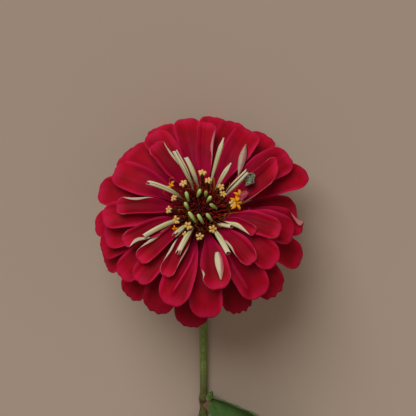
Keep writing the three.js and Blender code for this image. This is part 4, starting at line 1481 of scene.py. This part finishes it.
def leafFinish():
    # Patches of green under pale veins, finely pimpled, lighter towards the foot and brown at it.
    finish = Finish("leaf")
    under = finish.field("under")
    vein = finish.field("vein")
    rough = finish.noise(finish.place(), 1300.0, 3.0)
    patch = finish.noise(finish.place(), 90.0, 3.0)
    pimple = finish.cells(finish.place(), 1100.0)
    face = finish.mix(finish.rise(patch, 0.35, 0.65), leafShape["dark"], leafShape["green"])
    face = finish.mix(finish.rise(rough, 0.45, 0.8) * 0.5, face, leafShape["light"])
    face = finish.mix(finish.rise(vein, 0.35, 1.0) * 0.45, face, leafShape["vein"])
    along = finish.field("along")
    face = finish.mix(finish.rise(along, 0.5, 0.1) * 0.5, face, leafShape["light"])
    face = finish.mix(finish.rise(along + rough * 0.03, 0.075, 0.02), face, leafShape["foot"])
    back = finish.mix(finish.rise(vein, 0.2, 0.9), leafShape["back"], leafShape["vein"])
    height = rough * 0.4 + finish.rise(pimple, 0.5, 0.0) * 0.6
    base = finish.mix(finish.rise(under, 0.35, 0.65), face, back)
    scatter = (0.06, (0.5, 1.0, 0.2), 0.5)
    return finish.shade(base, finish.rough(rough, 0.5, 0.75), 0.35, finish.bump(height, 0.12), scatter)


def leafSurface(leaf):
    # The midrib is a path in plan whose heading turns evenly, with an arch over the surface. Each half of
    # the blade slopes up from it by its fold, and the width is a smooth swell times what the tip leaves of
    # it. A vein is a bell of the distance to its line, sunk into the face, with the blade puckered between.
    up = np.array([0, 0, 1.0])
    reach = stemShape["radius"][2] + leafShape["gap"]
    foot = nodeCentre + [leaf["side"] * reach, leaf["shift"], 0.5]
    u = np.linspace(0, 1, leafShape["rows"])
    v = np.linspace(-1, 1, leafShape["columns"])[None]
    heading = np.radians(leaf["heading"] + leaf["turn"] * u)
    ahead = np.stack([np.cos(heading), np.sin(heading), 0 * u], -1)
    step = leaf["length"] / (leafShape["rows"] - 1)
    midrib = np.stack([foot[k] + summed(ahead[:, k], step) for k in (0, 1)] + [0 * u], -1)
    midrib[:, 2] = blend(foot[2], leafShape["lie"], u * u) + leaf["arch"] * np.sin(np.pi * u)
    swell = smoothStep(u, -leaf["base"], leafShape["widestAt"])
    width = np.maximum(leafShape["tip"], leaf["half"] * swell * (1 - u**2.4))[:, None]
    edge = np.abs(v)
    fold = np.where(v < 0, leaf["fold"][0], leaf["fold"][1])
    slope = np.radians(fold) * smoothStep(edge, -0.3, 0.5)
    side = np.cross(up, ahead)[:, None] * np.where(v < 0, 1, -1)[..., None]
    outward = side * np.cos(slope)[..., None] + up * np.sin(slope)[..., None]
    normal = up * np.cos(slope)[..., None] - side * np.sin(slope)[..., None]
    place = edge * width
    along = u[:, None] * leaf["length"]

    rib = np.exp(-((place / leafShape["midribHalf"]) ** 2))
    lateralAt = leafShape["sideVein"] * width * (1 - 0.5 * u[:, None])
    lateral = np.exp(-(((place - lateralAt) / leafShape["sideVeinHalf"]) ** 2))
    lateral = lateral * smoothStep(u, 0.02, 0.1)[:, None] * (1 - smoothStep(u, 0.7, 0.95))[:, None]
    branch = (along - leafShape["branchLean"] * place) / leafShape["branchStep"] + np.where(v < 0, 0.0, 0.45)
    small = np.exp(-(((branch - np.round(branch)) / leafShape["branchHalf"]) ** 2))
    small = small * smoothStep(place, 0.5, 1.5)
    vein = np.maximum(np.maximum(rib, 0.8 * lateral), 0.5 * small)
    pucker = -leafShape["pucker"] * np.cos(2 * np.pi * branch) * smoothStep(edge, 0.08, 0.4)
    pucker = pucker * (0.6 + 0.4 * np.sin(along / 3.1 + 2.4 * edge))
    longWave = np.sin(along / leafShape["longWave"] + np.where(v < 0, 0.4, 2.2))
    shortWave = np.sin(along / leafShape["shortWave"] + np.where(v < 0, 2.4, 0.3))
    ripple = leafShape["ripple"] * edge**2 * (longWave + 0.6 * shortWave) * swell[:, None]
    relief = pucker + ripple - leafShape["veinDepth"] * vein
    middle = midrib[:, None] + outward * place[..., None] + normal * relief[..., None]
    thickness = leafShape["thickness"] * (1 - 0.55 * edge**4) * np.ones_like(place)
    middle[..., 2] = np.maximum(middle[..., 2], thickness / 2 + 0.03)
    return middle[None], normal[None], thickness[None], vein[None], u[:, None]


leafMaterial = leafFinish()
for leaf in leaves:
    middle, normal, thickness, vein, along = leafSurface(leaf)
    points, faceLists = closedSheets(middle, normal, thickness)
    shape = vein.shape
    fields = {"under": underSide(shape), "vein": bothSkins(vein, shape), "along": bothSkins(along, shape)}
    makePiece("blade_" + leaf["name"], (points, faceLists, fields), leafMaterial, [leaf["name"]])


print("floor, lights and camera")

studio = {
    "floor": "#c2b0a0",
    "floorCloud": "#baa796",
    "floorSize": 40.0,
    "world": "#dccbbc",
    "worldStrength": 0.33,
    "keyPower": 1.9,
    "keyAngle": 36,
    "keyFrom": (0.25, -0.75, 0.65),
    "viewTurn": 20,  # degrees that the camera leans from straight down towards -Y
    "viewDistance": 0.6,
    "viewShift": (1.79, -0.71),  # millimetres right and up from the middle of the disc
    "lens": 145.4,
    "sensor": 36.0,
}


def lookFrom(thing, position, target, up):
    # the axes of a camera or a lamp at position that faces target
    back = unit(np.array(position, float) - np.array(target, float))
    right = unit(np.cross(up, back))
    axes = np.stack([right, np.cross(back, right), back], 1)
    matrix = np.eye(4)
    matrix[:3, :3] = axes
    matrix[:3, 3] = position
    thing.matrix_world = Matrix(matrix.tolist())


def floorFinish():
    finish = Finish("floor")
    cloud = finish.noise(finish.place(), 3.0, 2.0)
    return finish.shade(finish.mix(cloud, studio["floor"], studio["floorCloud"]), 0.9, 0.2)


discCentre = np.array(head["discCentre"]) * millimetre
floorMesh = bpy.data.meshes.new("floor")
reach = studio["floorSize"] / 2
corners = [(-reach, -reach, 0), (reach, -reach, 0), (reach, reach, 0), (-reach, reach, 0)]
floorMesh.from_pydata(corners, [], [(0, 1, 2, 3)])
floorMesh.materials.append(floorFinish())
floor = bpy.data.objects.new("floor", floorMesh)
bpy.context.scene.collection.objects.link(floor)

lamp = bpy.data.lights.new("key", "SUN")
lamp.energy = studio["keyPower"]
lamp.angle = np.radians(studio["keyAngle"])
key = bpy.data.objects.new("key", lamp)
bpy.context.scene.collection.objects.link(key)
lookFrom(key, studio["keyFrom"], (0, 0, 0), (0.01, 1, 0.02))

world = bpy.data.worlds.new("studio")
world.use_nodes = True
background = world.node_tree.nodes["Background"]
background.inputs["Color"].default_value = colour(studio["world"])
background.inputs["Strength"].default_value = studio["worldStrength"]
bpy.context.scene.world = world
bpy.context.scene.view_settings.view_transform = "Standard"

lean = np.radians(studio["viewTurn"])
viewBack = np.array([0, -np.sin(lean), np.cos(lean)])
viewUp = np.array([0, -np.cos(lean), -np.sin(lean)])
viewRight = np.array([-1.0, 0, 0])
shiftRight, shiftUp = studio["viewShift"]
target = discCentre + (viewRight * shiftRight + viewUp * shiftUp) * millimetre
cameraData = bpy.data.cameras.new("camera")
cameraData.lens = studio["lens"]
cameraData.sensor_width = studio["sensor"]
camera = bpy.data.objects.new("camera", cameraData)
bpy.context.scene.collection.objects.link(camera)
lookFrom(camera, target + viewBack * studio["viewDistance"], target, viewUp)
bpy.context.scene.camera = camera
